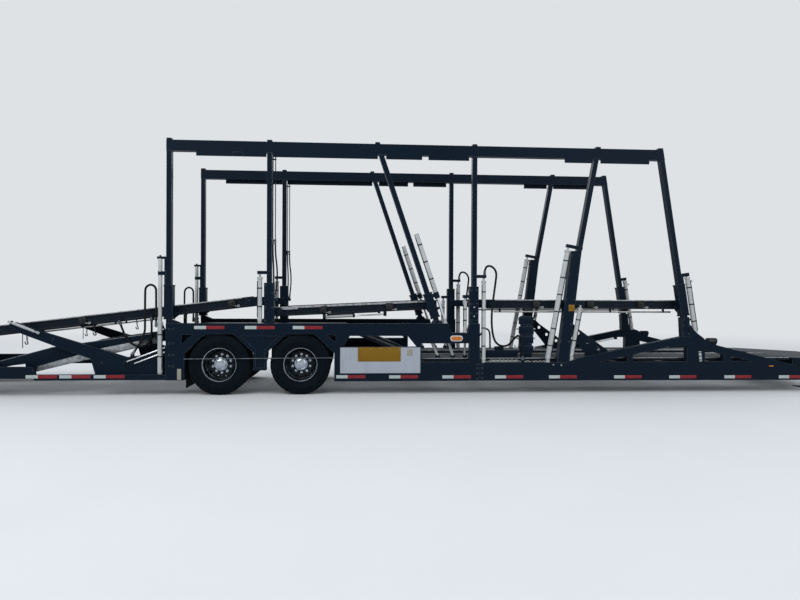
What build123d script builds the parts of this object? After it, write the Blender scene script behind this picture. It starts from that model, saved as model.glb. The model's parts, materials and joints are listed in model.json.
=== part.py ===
"""Car transporter trailer: open side frames, slanted deck posts, tilting upper decks, tandem dual wheels.

Millimetres. +X is the trailer's front, +Z is up, y = 0 is the middle of the trailer and z = 0 is the road.
The side at -Y is the kerb side.
"""
from build123d import *
from math import atan2, cos, sin
import os

os.makedirs("parts", exist_ok=True)

# Overall sizes
HALF_WIDTH = 1295
REAR_END = -7550
NOSE_END = 7550

# Side frames: how far they reach along the trailer, and the heights of their rails
FRAME_BACK = -3645
FRAME_SPLIT = 1231
FRAME_FRONT = 6900
FRAME_DEPTH = 120
RAIL_BOTTOM = 205
RAIL_TOP = 490
BEAM_BOTTOM = 945
BEAM_TOP = 1110
STEP_BACK = 770
STEP_FRONT = 1030
STEP_Z = 965
CHORD_START = 2640
KNEE_X = 2824
KNEE_Z = 560
CHORD_TOP = 905
REAR_RAIL_TOP = 325

# Wheels: 255/70R22.5 tyres, two to each end of an axle
AXLES_X = (-2840, -1595)
TYRE_R = 467.5
RIM_LIP_R = 289
RIM_BEAD_R = 284
TYRE_BEAD_R = 284.3
MOUNT_FACE_Y = 1008
TYRE_Y = (851, 1165)
SPINDLE_R = 44
HUB_BORE_R = 45
ARCH_HALF = 525
ARCH_TOP_HALF = 215
ARCH_SHOULDER_Z = 650

# Fixed lower deck
FLOOR_OUTER = 1150
FLOOR_INNER = 430
AXLE_DECK_TOP = 1040
WELL_TOP = 555
FLOOR_THICKNESS = 45

# Posts: 76 mm wide box tubes that carry the top rails
POST_WIDTH = 76
POST_INNER_Y = 1165
POST_OUTER_Y = 1275
TOP_RAIL_BOTTOM = 3764
TOP_RAIL_TOP = 3932
CAP_HEIGHT = 28

# Decks: two wheel runners between side rails, joined by cross tubes
DECK_HALF = 1095
DECK_RAIL_WIDTH = 70
DECK_RAIL_DEPTH = 150
DECK_TRACK_INNER = 430
DECK_PIN_DROP = 75
DECK_PIN_R = 25
PIN_GAP = 1

# Lifting slides: a sleeve round each post, with a shelf under the deck's pin
SLEEVE_GAP = 5
SLEEVE_WALL = 22
SHELF_GAP = 6

# Posts: name, x at the top rail's underside, run of x for each metre down, foot height
POSTS = (
    ("post_1", -3608, 0.0, BEAM_TOP),
    ("post_2", -2082, 0.0, BEAM_TOP),
    ("post_3", -346, 0.34, BEAM_TOP),
    ("post_4", 1144, 0.0, BEAM_TOP),
    ("post_5", 3124, -0.185, RAIL_TOP),
    ("post_6", 4220, 0.155, CHORD_TOP),
)
POST_LINE = {name: (x, run) for name, x, run, foot in POSTS}

# Cylinders stand outboard of the posts, on feet that are narrower than their barrels
CYLINDER_Y = 1250
FOOT_HALF = 30
FOOT_THICKNESS = 50


def post_x(name, z):
    """The x of a post's centre line at height z."""
    x, run = POST_LINE[name]
    return x + run * (TOP_RAIL_BOTTOM - z)


def right_side(distance):
    """A plane facing the kerb side, at y = -distance."""
    return Plane.XZ.offset(distance)


def beside_post(name, offset, z):
    """A plane square to a post's line, at height z on a cylinder that stands beside the post."""
    along = Vector(-POST_LINE[name][1], 0, 1).normalized()
    return Plane(origin=(post_x(name, z) + offset, -CYLINDER_Y, z), x_dir=(along.Z, 0, -along.X), z_dir=along)


def seat_under(x):
    """Height of the side frame's upper edge at x, as far forward as the chord's knee."""
    if x < STEP_BACK:
        return BEAM_TOP
    if x < FRAME_SPLIT:
        return STEP_Z
    return RAIL_TOP + max(0, x - CHORD_START) * (KNEE_Z - RAIL_TOP) / (KNEE_X - CHORD_START)


def foot_block(x, z, seat_back, seat_front):
    """The outline of a cylinder's foot: from the frame's edge up to the barrel or rod that stands on it."""
    return (
        (x - FOOT_HALF, seat_back),
        (x + FOOT_HALF, seat_front),
        (x + FOOT_HALF - 10, z + 8),
        (x - FOOT_HALF + 10, z + 8),
    )


def deck_plane(x, z, slope):
    """A plane along a deck: local x along the trailer, local z square to the deck's top."""
    return Plane(origin=(x, 0, z), x_dir=(cos(slope), 0, sin(slope)), z_dir=(-sin(slope), 0, cos(slope)))


def across_deck(plane, place, height):
    """A plane facing the kerb side, through a point given along a deck and square to it."""
    return Plane(origin=plane.from_local_coords(Vector(place, 0, height)), x_dir=(1, 0, 0), z_dir=(0, -1, 0))


def save(piece, label):
    piece.part.label = label
    export_step(piece.part, f"parts/{label}.step")


# Rear half of a side frame: wheel arches, the beam over them and the windows ahead of them
def arch(x):
    return [
        (x - ARCH_HALF, ARCH_SHOULDER_Z),
        (x - ARCH_TOP_HALF, BEAM_BOTTOM),
        (x + ARCH_TOP_HALF, BEAM_BOTTOM),
        (x + ARCH_HALF, ARCH_SHOULDER_Z),
    ]


rear_frame_outline = [
    (FRAME_BACK, 234),
    (AXLES_X[0] - ARCH_HALF, 234),
    *arch(AXLES_X[0]),
    (AXLES_X[0] + ARCH_HALF, 382),
    (AXLES_X[1] - ARCH_HALF, 382),
    *arch(AXLES_X[1]),
    (AXLES_X[1] + ARCH_HALF, RAIL_BOTTOM),
    (FRAME_SPLIT, RAIL_BOTTOM),
    (FRAME_SPLIT, BEAM_TOP),
    (1066, BEAM_TOP),
    (STEP_FRONT, STEP_Z),
    (STEP_BACK, STEP_Z),
    (730, BEAM_TOP),
    (FRAME_BACK, BEAM_TOP),
]
rear_frame_windows = (
    [(-3405, 935), (-3405, 790), (-3240, 935)],
    [(-1200, 935), (-1050, 815), (-1050, 935)],
    [(-935, 742), (227, 742), (84, 915), (-826, 915)],
    [(300, 503), (1066, 503), (1066, 797), (300, 797)],
)

# Facings on a side frame: outline, depth from the outer face, and whether it adds or cuts
RECESS_DEPTH = 16
FLARE_DEPTH = 5.5
TAB_DEPTH = 60
rear_frame_facings = (
    (
        [(-2520, 915), (-2285, 700), (-2285, 420), (-2150, 420), (-2150, 700), (-1915, 915)],
        RECESS_DEPTH,
        Mode.SUBTRACT,
    ),
)
front_frame_facings = (
    # The flare at the foot of post 6
    ([(4680, 895), (4692, 1100), (4750, 1012), (4803, 963), (4916, 882), (4925, 855)], FLARE_DEPTH, Mode.ADD),
    # The tab that carries a lamp on the chord's slope
    (
        [(4985, 790), (4972, 825), (4972, 851), (4992, 879), (5130, 879), (5150, 851), (5150, 825), (5128, 760)],
        TAB_DEPTH,
        Mode.ADD,
    ),
)

# Front half of a side frame: lower rail, the chord that rises to post 6 and the slope down to the nose
front_frame_outline = [
    (FRAME_SPLIT, RAIL_BOTTOM),
    (FRAME_FRONT, 190),
    (FRAME_FRONT, 330),
    (5125, 768),
    (4990, 797),
    (4916, 880),
    (4866, CHORD_TOP),
    (4560, CHORD_TOP),
    (KNEE_X, KNEE_Z),
    (CHORD_START, RAIL_TOP),
    (FRAME_SPLIT, RAIL_TOP),
]
front_frame_windows = (
    [(3180, 497), (3641, 497), (3641, 597)],
    [(3733, 497), (4640, 497), (4640, 757), (4434, 757), (3733, 616)],
    [(4940, 497), (5262, 497), (5262, 612), (4940, 682)],
    [(5381, 497), (5740, 497), (5381, 588)],
)
for label, outline, windows, facings in (
    ("side_frame_rear", rear_frame_outline, rear_frame_windows, rear_frame_facings),
    ("side_frame_front", front_frame_outline, front_frame_windows, front_frame_facings),
):
    with BuildPart() as frame_right:
        with BuildSketch(right_side(HALF_WIDTH - FRAME_DEPTH)):
            with BuildLine():
                Polyline(*outline, close=True)
            make_face()
            for window in windows:
                with BuildLine():
                    Polyline(*window, close=True)
                make_face(mode=Mode.SUBTRACT)
        extrude(amount=FRAME_DEPTH)
        for facing, depth, mode in facings:
            with BuildSketch(right_side(HALF_WIDTH - depth)):
                with BuildLine():
                    Polyline(*facing, close=True)
                make_face()
            extrude(amount=depth, mode=mode)
    save(frame_right, f"{label}_right")
    with BuildPart() as frame_left:
        add(mirror(frame_right.part, about=Plane.XZ))
    save(frame_left, f"{label}_left")

# Rear arms: the big plates that run from the frame's rear column up to the rear deck
ARM_INNER_Y = 1150
ARM_THICKNESS = 58
with BuildPart() as rear_arms:
    with BuildSketch(right_side(ARM_INNER_Y)):
        with BuildLine():
            Polyline(
                (FRAME_BACK, 234),
                (FRAME_BACK, 600),
                (-3800, 640),
                (-4250, 585),
                (-5499, 975),
                (-5900, 1120),
                (-6010, 1075),
                (-5819, 947),
                (-5309, 750),
                (-4790, 560),
                (-4735, 369),
                (-4700, 234),
                close=True,
            )
        make_face()
    extrude(amount=ARM_THICKNESS)
    mirror(about=Plane.XZ)
save(rear_arms, "rear_arms")

# Rear side rails, stepped up to a box at the rear end
with BuildPart() as rear_rails:
    with BuildSketch(right_side(ARM_INNER_Y + ARM_THICKNESS)):
        with BuildLine():
            Polyline(
                (FRAME_BACK, 240),
                (FRAME_BACK, REAR_RAIL_TOP),
                (-5580, REAR_RAIL_TOP),
                (-5620, 445),
                (-7380, 445),
                (-7380, 268),
                (-5600, 268),
                (-5580, 240),
                close=True,
            )
        make_face()
    extrude(amount=HALF_WIDTH - ARM_INNER_Y - ARM_THICKNESS)
    mirror(about=Plane.XZ)
save(rear_rails, "rear_rails")

# Rear bumper: a box across the rear rails, with a guard under it on two drop arms
TAIL_LENS = 14
BUMPER_Z = 380
GUARD_Z = 240
with BuildPart() as rear_bumper:
    with BuildSketch(Plane.YZ.offset(REAR_END + TAIL_LENS)):
        with Locations((0, BUMPER_Z)):
            RectangleRounded(2 * HALF_WIDTH, 170, 14)
        with Locations((0, GUARD_Z)):
            RectangleRounded(2000, 80, 14)
        with Locations((-640, (BUMPER_Z + GUARD_Z) / 2), (640, (BUMPER_Z + GUARD_Z) / 2)):
            Rectangle(90, BUMPER_Z - GUARD_Z)
    extrude(amount=170 - TAIL_LENS)
save(rear_bumper, "rear_bumper")

# Top rails, with a cap over each post and thin plates that hang below
HANGER_PLATES = (
    # back end, front end
    (-3200, -2650),
    (-2500, -2130),
    (-2030, -400),
    (-270, 300),
    (400, 1050),
    (2600, 3060),
    (3190, 4000),
)
with BuildPart() as top_rails:
    with BuildSketch(right_side(POST_INNER_Y)):
        with BuildLine():
            Polyline(
                (-3650, TOP_RAIL_BOTTOM),
                (4262, TOP_RAIL_BOTTOM),
                (4235, TOP_RAIL_TOP),
                (-3650, TOP_RAIL_TOP),
                close=True,
            )
        make_face()
        for name, x, run, foot in POSTS:
            with Locations((x - run * 168, TOP_RAIL_TOP + CAP_HEIGHT / 2)):
                Rectangle(POST_WIDTH, CAP_HEIGHT)
    extrude(amount=POST_OUTER_Y - POST_INNER_Y)
    with BuildSketch(right_side(POST_OUTER_Y - 14)):
        for x0, x1 in HANGER_PLATES:
            with Locations(((x0 + x1) / 2, TOP_RAIL_BOTTOM - 35)):
                Rectangle(x1 - x0, 70)
    extrude(amount=14)
    mirror(about=Plane.XZ)
save(top_rails, "top_rails")

# Decks: name, pivot, x of the lifting pin, slope, ends and cross tubes along the deck from the pivot
DECKS = (
    ("deck_rear", (-2400, 1450), -3608, 0.120, -5120, 60, (-5060, -3800, -2500)),
    ("deck_middle", (-1950, 1290), 460, 0.0477, -50, 2520, (800, 1600)),
    ("deck_front", (1440, 1420), 4583, 0.0, -55, 3250, (1050, 2100)),
)
# Pivot lugs: the post that carries each deck's pivot
PIVOT_POST = {"deck_rear": "post_2", "deck_middle": "post_2", "deck_front": "post_4"}
LUG_INNER_Y = 1105
LUG_R = 62

# Thick feet of the posts: corners seen from the side
FOOT_INNER_Y = 1158
FOOT_OUTER_Y = 1282
POST_FEET = {
    "post_1": ((-3600, BEAM_TOP), (-3430, BEAM_TOP), (-3550, 1160), (-3600, 1160)),
    "post_2": ((-2160, BEAM_TOP), (-2004, BEAM_TOP), (-2004, 1740), (-2160, 1740)),
    "post_3": ((460, BEAM_TOP), (640, BEAM_TOP), (610, 1160), (490, 1160)),
    "post_4": ((1066, BEAM_TOP), (1211, BEAM_TOP), (1211, 1700), (1066, 1700)),
    "post_5": (
        (2494, RAIL_TOP),
        (CHORD_START, RAIL_TOP),
        (2675, seat_under(2675)),
        (2708, 771),
        (2882, 2280),
        (2718, 2280),
        (2528, 771),
    ),
    "post_6": ((4565, CHORD_TOP), (4720, CHORD_TOP), (4690, 1100), (4679, 1225), (4549, 1212)),
}

# Closed cylinders beside posts 2, 4 and 5: post, offset along the trailer, foot height, top height, radius
CLOSED_CYLINDERS = (
    ("post_2", -145, 1150, 1830, 37),
    ("post_4", 152, 530, 1790, 34),
    ("post_4", -147, 1005, 1470, 30),
    ("post_5", -190, 547, 2290, 41),
    ("post_5", 190, 590, 1364, 34),
)
CLOSED_ROD_R = 18
CLOSED_ROD_LENGTH = 45
HEAD_DEPTH = 50
HEAD_REACH = 38
GLAND_WALL = 7
GLAND_HEIGHT = 30

# Posts in pairs, with the pivot lugs of the decks on their inner faces and a head over each closed cylinder
for name, x, run, foot in POSTS:
    with BuildPart() as post:
        width = POST_WIDTH * (1 + run * run) ** 0.5
        foot_x = post_x(name, foot)
        with BuildSketch(right_side(POST_INNER_Y)):
            with BuildLine():
                Polyline(
                    (foot_x - width / 2, foot),
                    (foot_x + width / 2, foot),
                    (x + width / 2, TOP_RAIL_BOTTOM),
                    (x - width / 2, TOP_RAIL_BOTTOM),
                    close=True,
                )
            make_face()
        extrude(amount=POST_OUTER_Y - POST_INNER_Y)
        with BuildSketch(right_side(FOOT_INNER_Y)):
            with BuildLine():
                Polyline(*POST_FEET[name], close=True)
            make_face()
        extrude(amount=FOOT_OUTER_Y - FOOT_INNER_Y)
        for post_name, offset, cylinder_foot, top, radius in CLOSED_CYLINDERS:
            if post_name != name:
                continue
            with BuildSketch(beside_post(name, offset, top + CLOSED_ROD_LENGTH)):
                with Locations((-offset / 2, 0)):
                    Rectangle(abs(offset) + 2 * HEAD_REACH, 60)
            extrude(amount=HEAD_DEPTH)
        for deck_name, (pivot_x, pivot_z), pin_x, slope, end_a, end_b, tubes in DECKS:
            if PIVOT_POST[deck_name] != name:
                continue
            side = 1 if x > pivot_x else -1
            with BuildSketch(right_side(LUG_INNER_Y)):
                with Locations((pivot_x, pivot_z)):
                    Circle(LUG_R)
                with BuildLine():
                    Polyline(
                        (pivot_x, pivot_z - LUG_R),
                        (x + side * POST_WIDTH / 2, pivot_z - LUG_R),
                        (x + side * POST_WIDTH / 2, pivot_z + LUG_R),
                        (pivot_x, pivot_z + LUG_R),
                        close=True,
                    )
                make_face()
                with Locations((pivot_x, pivot_z)):
                    Circle(DECK_PIN_R + PIN_GAP, mode=Mode.SUBTRACT)
            extrude(amount=POST_INNER_Y - LUG_INNER_Y)
        mirror(about=Plane.XZ)
    save(post, name)

# Decks: side rails are channels that open outwards, and the runners lie between them and an upturned lip
CHANNEL_RECESS = 20
CHANNEL_FLANGE = 22
TRACK_THICKNESS = 16
TRACK_DROP = 34
LIP_DEPTH = 80
CROSS_TUBE_R = 38
PIVOT_PIN_REACH = 1155
LIFT_PIN_REACH = 1138
for name, (pivot_x, pivot_z), pin_x, slope, end_a, end_b, tubes in DECKS:
    angle = atan2(slope, 1)
    along = deck_plane(pivot_x, pivot_z, angle)
    with BuildPart() as deck:
        end = along.from_local_coords(Vector(end_a, 0, 0))
        section = Plane(origin=end, x_dir=(0, 1, 0), z_dir=along.x_dir)
        top = DECK_PIN_DROP
        bottom = top - DECK_RAIL_DEPTH
        web = -DECK_HALF + CHANNEL_RECESS
        with BuildSketch(section):
            with BuildLine():
                Polyline(
                    (-DECK_HALF, top),
                    (-DECK_HALF + DECK_RAIL_WIDTH, top),
                    (-DECK_HALF + DECK_RAIL_WIDTH, top - TRACK_DROP),
                    (-DECK_TRACK_INNER - 16, top - TRACK_DROP),
                    (-DECK_TRACK_INNER - 16, top),
                    (-DECK_TRACK_INNER, top),
                    (-DECK_TRACK_INNER, top - LIP_DEPTH),
                    (-DECK_TRACK_INNER - 16, top - LIP_DEPTH),
                    (-DECK_TRACK_INNER - 16, top - TRACK_DROP - TRACK_THICKNESS),
                    (-DECK_HALF + DECK_RAIL_WIDTH, top - TRACK_DROP - TRACK_THICKNESS),
                    (-DECK_HALF + DECK_RAIL_WIDTH, bottom),
                    (-DECK_HALF, bottom),
                    (-DECK_HALF, bottom + CHANNEL_FLANGE),
                    (web, bottom + CHANNEL_FLANGE),
                    (web, top - CHANNEL_FLANGE),
                    (-DECK_HALF, top - CHANNEL_FLANGE),
                    close=True,
                )
            make_face()
            mirror(about=Plane.YZ)
        extrude(amount=end_b - end_a)
        pin_along = (pin_x - pivot_x) / cos(angle)
        for place, reach in ((0, PIVOT_PIN_REACH), (pin_along, LIFT_PIN_REACH)):
            across = across_deck(along, place, 0)
            for radius, half_length in ((DECK_PIN_R, reach), (CROSS_TUBE_R, DECK_HALF - 10)):
                with BuildSketch(across):
                    Circle(radius)
                extrude(amount=half_length, both=True)
        for place in tubes:
            with BuildSketch(across_deck(along, place, -30)):
                Circle(CROSS_TUBE_R)
            extrude(amount=DECK_HALF - 10, both=True)
    save(deck, name)

# Lifting slides and their cylinders: deck, post, cylinder offset from the post, height that the cylinder
# stands on, then heights on the post of the barrel's foot and top, the rod's foot and top, and the sleeve's
# foot and top. The middle deck's cylinders stand upside down, so their barrels ride with the slide and their
# rods stay on the frame.
LIFTS = (
    ("rear", "post_1", -130, REAR_RAIL_TOP, 345, 1130, 390, 1900, 1170, 1700, False),
    ("middle", "post_3", 130, BEAM_TOP, 1470, 2480, BEAM_TOP, 2420, 1200, 1590, True),
    ("front", "post_6", 140, CHORD_TOP, 920, 1850, 980, 1912, 1240, 1750, False),
)
BARREL_R = 38
BARREL_BORE_R = 27
ROD_R = 22
PORT_REACH = 52
PORT_HALF = 14
COLLAR_WALL = 8
COLLAR_HEIGHT = 20
PIN_HEIGHT = {}
for name, (pivot_x, pivot_z), pin_x, slope, end_a, end_b, tubes in DECKS:
    PIN_HEIGHT[name] = pivot_z + slope * (pin_x - pivot_x)

for name, post_name, offset, seat, barrel_foot, barrel_top, *rod_and_sleeve, inverted in LIFTS:
    rod_foot, rod_top, sleeve_foot, sleeve_top = rod_and_sleeve
    run = POST_LINE[post_name][1]
    stretch = (1 + run * run) ** 0.5
    up = Vector(-run, 0, 1).normalized()
    pin_z = PIN_HEIGHT[f"deck_{name}"]
    side = 1 if offset > 0 else -1
    inner_half = POST_WIDTH / 2 + SLEEVE_GAP
    middle_y = (POST_INNER_Y + POST_OUTER_Y) / 2

    def on_post(z, y, across=0.0):
        """A plane square to the post at height z on its line, shifted across the post."""
        base = Vector(post_x(post_name, z), y, z) + Vector(up.Z, 0, -up.X) * across
        return Plane(origin=base, x_dir=(up.Z, 0, -up.X), z_dir=(up.X, 0, up.Z))

    with BuildPart() as rod:
        with BuildSketch(on_post(rod_foot, -CYLINDER_Y, offset)):
            Circle(ROD_R)
        extrude(amount=(rod_top - rod_foot) * stretch)
    with BuildPart() as barrel:
        with BuildSketch(on_post(barrel_foot, -CYLINDER_Y, offset)):
            Circle(BARREL_R)
        extrude(amount=(barrel_top - barrel_foot) * stretch)
        gland_foot = barrel_foot if inverted else barrel_top - GLAND_HEIGHT
        with BuildSketch(on_post(gland_foot, -CYLINDER_Y, offset)):
            Circle(BARREL_R + GLAND_WALL)
        extrude(amount=GLAND_HEIGHT * stretch)
        bore_foot = barrel_foot - 10 if inverted else barrel_foot + 30
        bore_top = barrel_top - 30 if inverted else barrel_top + 10
        with BuildSketch(on_post(bore_foot, -CYLINDER_Y, offset)):
            Circle(BARREL_BORE_R)
        extrude(amount=(bore_top - bore_foot) * stretch, mode=Mode.SUBTRACT)
        if not inverted:
            port = on_post(barrel_top - 70, -CYLINDER_Y, offset + side * PORT_REACH).origin
            with BuildSketch(right_side(CYLINDER_Y - PORT_HALF)):
                with Locations((port.X, port.Z)):
                    Rectangle(44, 30)
            extrude(amount=2 * PORT_HALF)

    moving, fixed = (barrel, rod) if inverted else (rod, barrel)
    with BuildPart() as slide:
        with BuildSketch(on_post(sleeve_foot, -middle_y)):
            Rectangle(2 * (inner_half + SLEEVE_WALL), 2 * (HALF_WIDTH - middle_y) - 2)
            Rectangle(2 * inner_half, POST_OUTER_Y - POST_INNER_Y + 2 * SLEEVE_GAP, mode=Mode.SUBTRACT)
        extrude(amount=(sleeve_top - sleeve_foot) * stretch)
        for collar_foot in (sleeve_foot, sleeve_top - COLLAR_HEIGHT):
            with BuildSketch(on_post(collar_foot, -middle_y)):
                for across in (-1, 1):
                    with Locations((across * (inner_half + SLEEVE_WALL + COLLAR_WALL / 2), 0)):
                        Rectangle(COLLAR_WALL, 2 * (HALF_WIDTH - middle_y) - 2)
            extrude(amount=COLLAR_HEIGHT * stretch)
        shelf_top = pin_z - DECK_PIN_R - SHELF_GAP
        shelf_x = post_x(post_name, shelf_top)
        with BuildSketch(right_side(DECK_HALF + 7)):
            with BuildLine():
                Polyline(
                    (shelf_x - 90, shelf_top),
                    (shelf_x + 140, shelf_top),
                    (shelf_x + 140, shelf_top - 25),
                    (shelf_x + 60, shelf_top - 90),
                    (shelf_x - 40, shelf_top - 90),
                    (shelf_x - 90, shelf_top - 25),
                    close=True,
                )
            make_face()
        extrude(amount=HALF_WIDTH - 147 - DECK_HALF)
        if inverted:
            with BuildSketch(on_post(barrel_foot + 30, -CYLINDER_Y, (inner_half + offset) / 2)):
                Rectangle(offset - inner_half, 56)
                with Locations(((offset - inner_half) / 2, 0)):
                    Circle(BARREL_R + 6)
                    Circle(BARREL_R - 2, mode=Mode.SUBTRACT)
            extrude(amount=60)
        else:
            link_reach = abs(offset) + ROD_R + 8
            with BuildSketch(on_post(rod_top - 50, -CYLINDER_Y, side * (link_reach + inner_half) / 2)):
                Rectangle(link_reach - inner_half, 56)
            extrude(amount=58)
            with BuildSketch(on_post(sleeve_top - 5, -CYLINDER_Y, side * (inner_half + SLEEVE_WALL / 2))):
                Rectangle(SLEEVE_WALL, 56)
            extrude(amount=(rod_top - 40 - sleeve_top) * stretch)
        add(moving.part)
        mirror(about=Plane.XZ)
    save(slide, f"lift_slide_{name}")
    with BuildPart() as fixed_pair:
        add(fixed.part)
        foot = on_post(rod_foot if inverted else barrel_foot, -CYLINDER_Y, offset).origin
        with BuildSketch(right_side(CYLINDER_Y - FOOT_THICKNESS / 2)):
            with BuildLine():
                Polyline(*foot_block(foot.X, foot.Z, seat, seat), close=True)
            make_face()
        extrude(amount=FOOT_THICKNESS)
        mirror(about=Plane.XZ)
    save(fixed_pair, f"lift_base_{name}")

# Closed cylinders, each on its foot and with a short length of rod under the post's head
with BuildPart() as closed_cylinders:
    for post_name, offset, foot, top, radius in CLOSED_CYLINDERS:
        stretch = (1 + POST_LINE[post_name][1] ** 2) ** 0.5
        for foot_z, top_z, part_radius in (
            (foot, top, radius),
            (top - GLAND_HEIGHT, top, radius + GLAND_WALL),
            (top, top + CLOSED_ROD_LENGTH, CLOSED_ROD_R),
        ):
            with BuildSketch(beside_post(post_name, offset, foot_z)):
                Circle(part_radius)
            extrude(amount=(top_z - foot_z) * stretch)
        foot_x = post_x(post_name, foot) + offset
        seat_back, seat_front = seat_under(foot_x - FOOT_HALF), seat_under(foot_x + FOOT_HALF)
        with BuildSketch(right_side(CYLINDER_Y - FOOT_THICKNESS / 2)):
            with BuildLine():
                Polyline(*foot_block(foot_x, foot, seat_back, seat_front), close=True)
            make_face()
        extrude(amount=FOOT_THICKNESS)
    mirror(about=Plane.XZ)
save(closed_cylinders, "closed_cylinders")

# Rear ramp: the lowest deck behind the wheels, hinged at its front end
RAMP_PIVOT = (-3760, 940)
RAMP_SLOPE = 0.195
RAMP_LENGTH = 3640
ramp_plane = deck_plane(RAMP_PIVOT[0], RAMP_PIVOT[1], atan2(RAMP_SLOPE, 1))
with BuildPart() as ramp:
    end = ramp_plane.from_local_coords(Vector(-RAMP_LENGTH, 0, 0))
    section = Plane(origin=end, x_dir=(0, 1, 0), z_dir=ramp_plane.x_dir)
    with BuildSketch(section):
        with Locations((-DECK_HALF + 30, -2.5), (DECK_HALF - 30, -2.5)):
            Rectangle(60, 85)
        with Locations((-DECK_TRACK_INNER - 8, 0), (DECK_TRACK_INNER + 8, 0)):
            Rectangle(16, 80)
    extrude(amount=RAMP_LENGTH + 30)
    track_middle = (DECK_HALF + DECK_TRACK_INNER) / 2
    with BuildSketch(section):
        with Locations((-track_middle, 8), (track_middle, 8)):
            Rectangle(DECK_HALF - DECK_TRACK_INNER - 10, 14)
    extrude(amount=RAMP_LENGTH - 60)
    for place, height, half_length in ((0, 0, 1170), (-1200, -24, 1080), (-2400, -24, 1080), (-3600, -24, 1080)):
        with BuildSketch(across_deck(ramp_plane, place, height)):
            Circle(30)
        extrude(amount=half_length, both=True)
save(ramp, "rear_ramp")

# Diagonal arms: perforated plates that lean back from the well floor to post 5
DIAGONAL_Y = 1118
DIAGONAL_HOLES = ((2877, 952), (3029, 813), (3221, 692))
with BuildPart() as diagonal_arms:
    with BuildSketch(right_side(DIAGONAL_Y)):
        with BuildLine():
            Polyline(
                (2770, 1124),
                (2723, 957),
                (2992, 623),
                (2992, WELL_TOP),
                (3413, WELL_TOP),
                (3413, 643),
                (2888, 1016),
                close=True,
            )
        make_face()
        with Locations(*DIAGONAL_HOLES):
            Circle(30, mode=Mode.SUBTRACT)
    extrude(amount=FLOOR_OUTER - DIAGONAL_Y)
    mirror(about=Plane.XZ)
save(diagonal_arms, "diagonal_arms")

# Hydraulic hoses that loop over from the cylinders of posts 1 and 4 down to the frame: points of the route,
# then the bend radius, the inner face of the fitting block at the frame, and the block's middle
HOSE_R = 12.5
HOSES = (
    (
        ((-3798, 1075), (-3798, 1660), (-3965, 1660), (-3965, 880), (-4150, 640)),
        (-4150, 600),
        ARM_INNER_Y + ARM_THICKNESS,
        85,
    ),
    (
        (
            (1310, 1885),
            (1310, 2010),
            (1520, 1860),
            (1405, 1240),
            (1480, 790),
            (1700, 740),
            (1860, 960),
            (1930, 530),
        ),
        (1930, RAIL_TOP + 20),
        CYLINDER_Y - FOOT_THICKNESS / 2,
        60,
    ),
)
with BuildPart() as hoses:
    for route, (block_x, block_z), block_y, bend in HOSES:
        with BuildLine(right_side(CYLINDER_Y)) as line:
            FilletPolyline(*route, radius=bend)
        with BuildSketch(Plane(origin=line.line @ 0, z_dir=line.line % 0)):
            Circle(HOSE_R)
        sweep(path=line.line)
        with BuildSketch(right_side(block_y)):
            with Locations((block_x, block_z)):
                Rectangle(44, 40)
        extrude(amount=CYLINDER_Y + HOSE_R + 6 - block_y)
    mirror(about=Plane.XZ)
save(hoses, "hydraulic_hoses")

# Ramp pivot ears on the frame's rear columns
with BuildPart() as ramp_ears:
    with BuildSketch(right_side(DECK_HALF + 8)):
        with BuildLine():
            Polyline((-3760, 990), (-3600, 1040), (-3600, 780), (-3760, 880), close=True)
        make_face()
        with Locations(RAMP_PIVOT):
            Circle(60)
            Circle(31, mode=Mode.SUBTRACT)
    extrude(amount=HALF_WIDTH - FRAME_DEPTH - DECK_HALF - 8)
    mirror(about=Plane.XZ)
save(ramp_ears, "ramp_ears")

# Fixed lower deck, in two runners: over the wheels, down a slope and along the well
FLOOR_PIECES = (
    # name, back end and its height, front end and its height
    ("axle_deck", -3560, AXLE_DECK_TOP, -900, AXLE_DECK_TOP),
    ("slope_deck", -899, AXLE_DECK_TOP, 299, WELL_TOP),
    ("well_deck", 300, WELL_TOP, 6480, WELL_TOP),
)
for label, x0, z0, x1, z1 in FLOOR_PIECES:
    with BuildPart() as floor:
        with BuildSketch(right_side(FLOOR_INNER)):
            with BuildLine():
                Polyline((x0, z0), (x1, z1), (x1, z1 - FLOOR_THICKNESS), (x0, z0 - FLOOR_THICKNESS), close=True)
            make_face()
        extrude(amount=FLOOR_OUTER - FLOOR_INNER)
        mirror(about=Plane.XZ)
    save(floor, label)

# Cross members of the well: box tubes between the side frames
with BuildPart() as cross_members:
    with BuildSketch(Plane.XZ.offset(FRAME_DEPTH - HALF_WIDTH)):
        for i in range(8):
            with Locations((400 + i * 840, 360)):
                Rectangle(100, 140)
    extrude(amount=2 * (HALF_WIDTH - FRAME_DEPTH))
save(cross_members, "cross_members")

# Rear cross members: under the ramp's front and over the wheels
with BuildPart() as rear_cross_members:
    with BuildSketch(Plane.XZ.offset(FRAME_DEPTH - HALF_WIDTH)):
        for x, z, w, h in ((-3600, 700, 80, 120), (-2217, 930, 90, 110), (-990, 860, 80, 120)):
            with Locations((x, z)):
                Rectangle(w, h)
    extrude(amount=2 * (HALF_WIDTH - FRAME_DEPTH))
save(rear_cross_members, "rear_cross_members")

# Sub-frame rails over the springs
SPRING_Y = 560
with BuildPart() as subframe:
    with BuildSketch(Plane.YZ.offset(-3560)):
        with Locations((-SPRING_Y, 815), (SPRING_Y, 815)):
            Rectangle(80, 120)
    extrude(amount=2530)
save(subframe, "subframe_rails")

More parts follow.
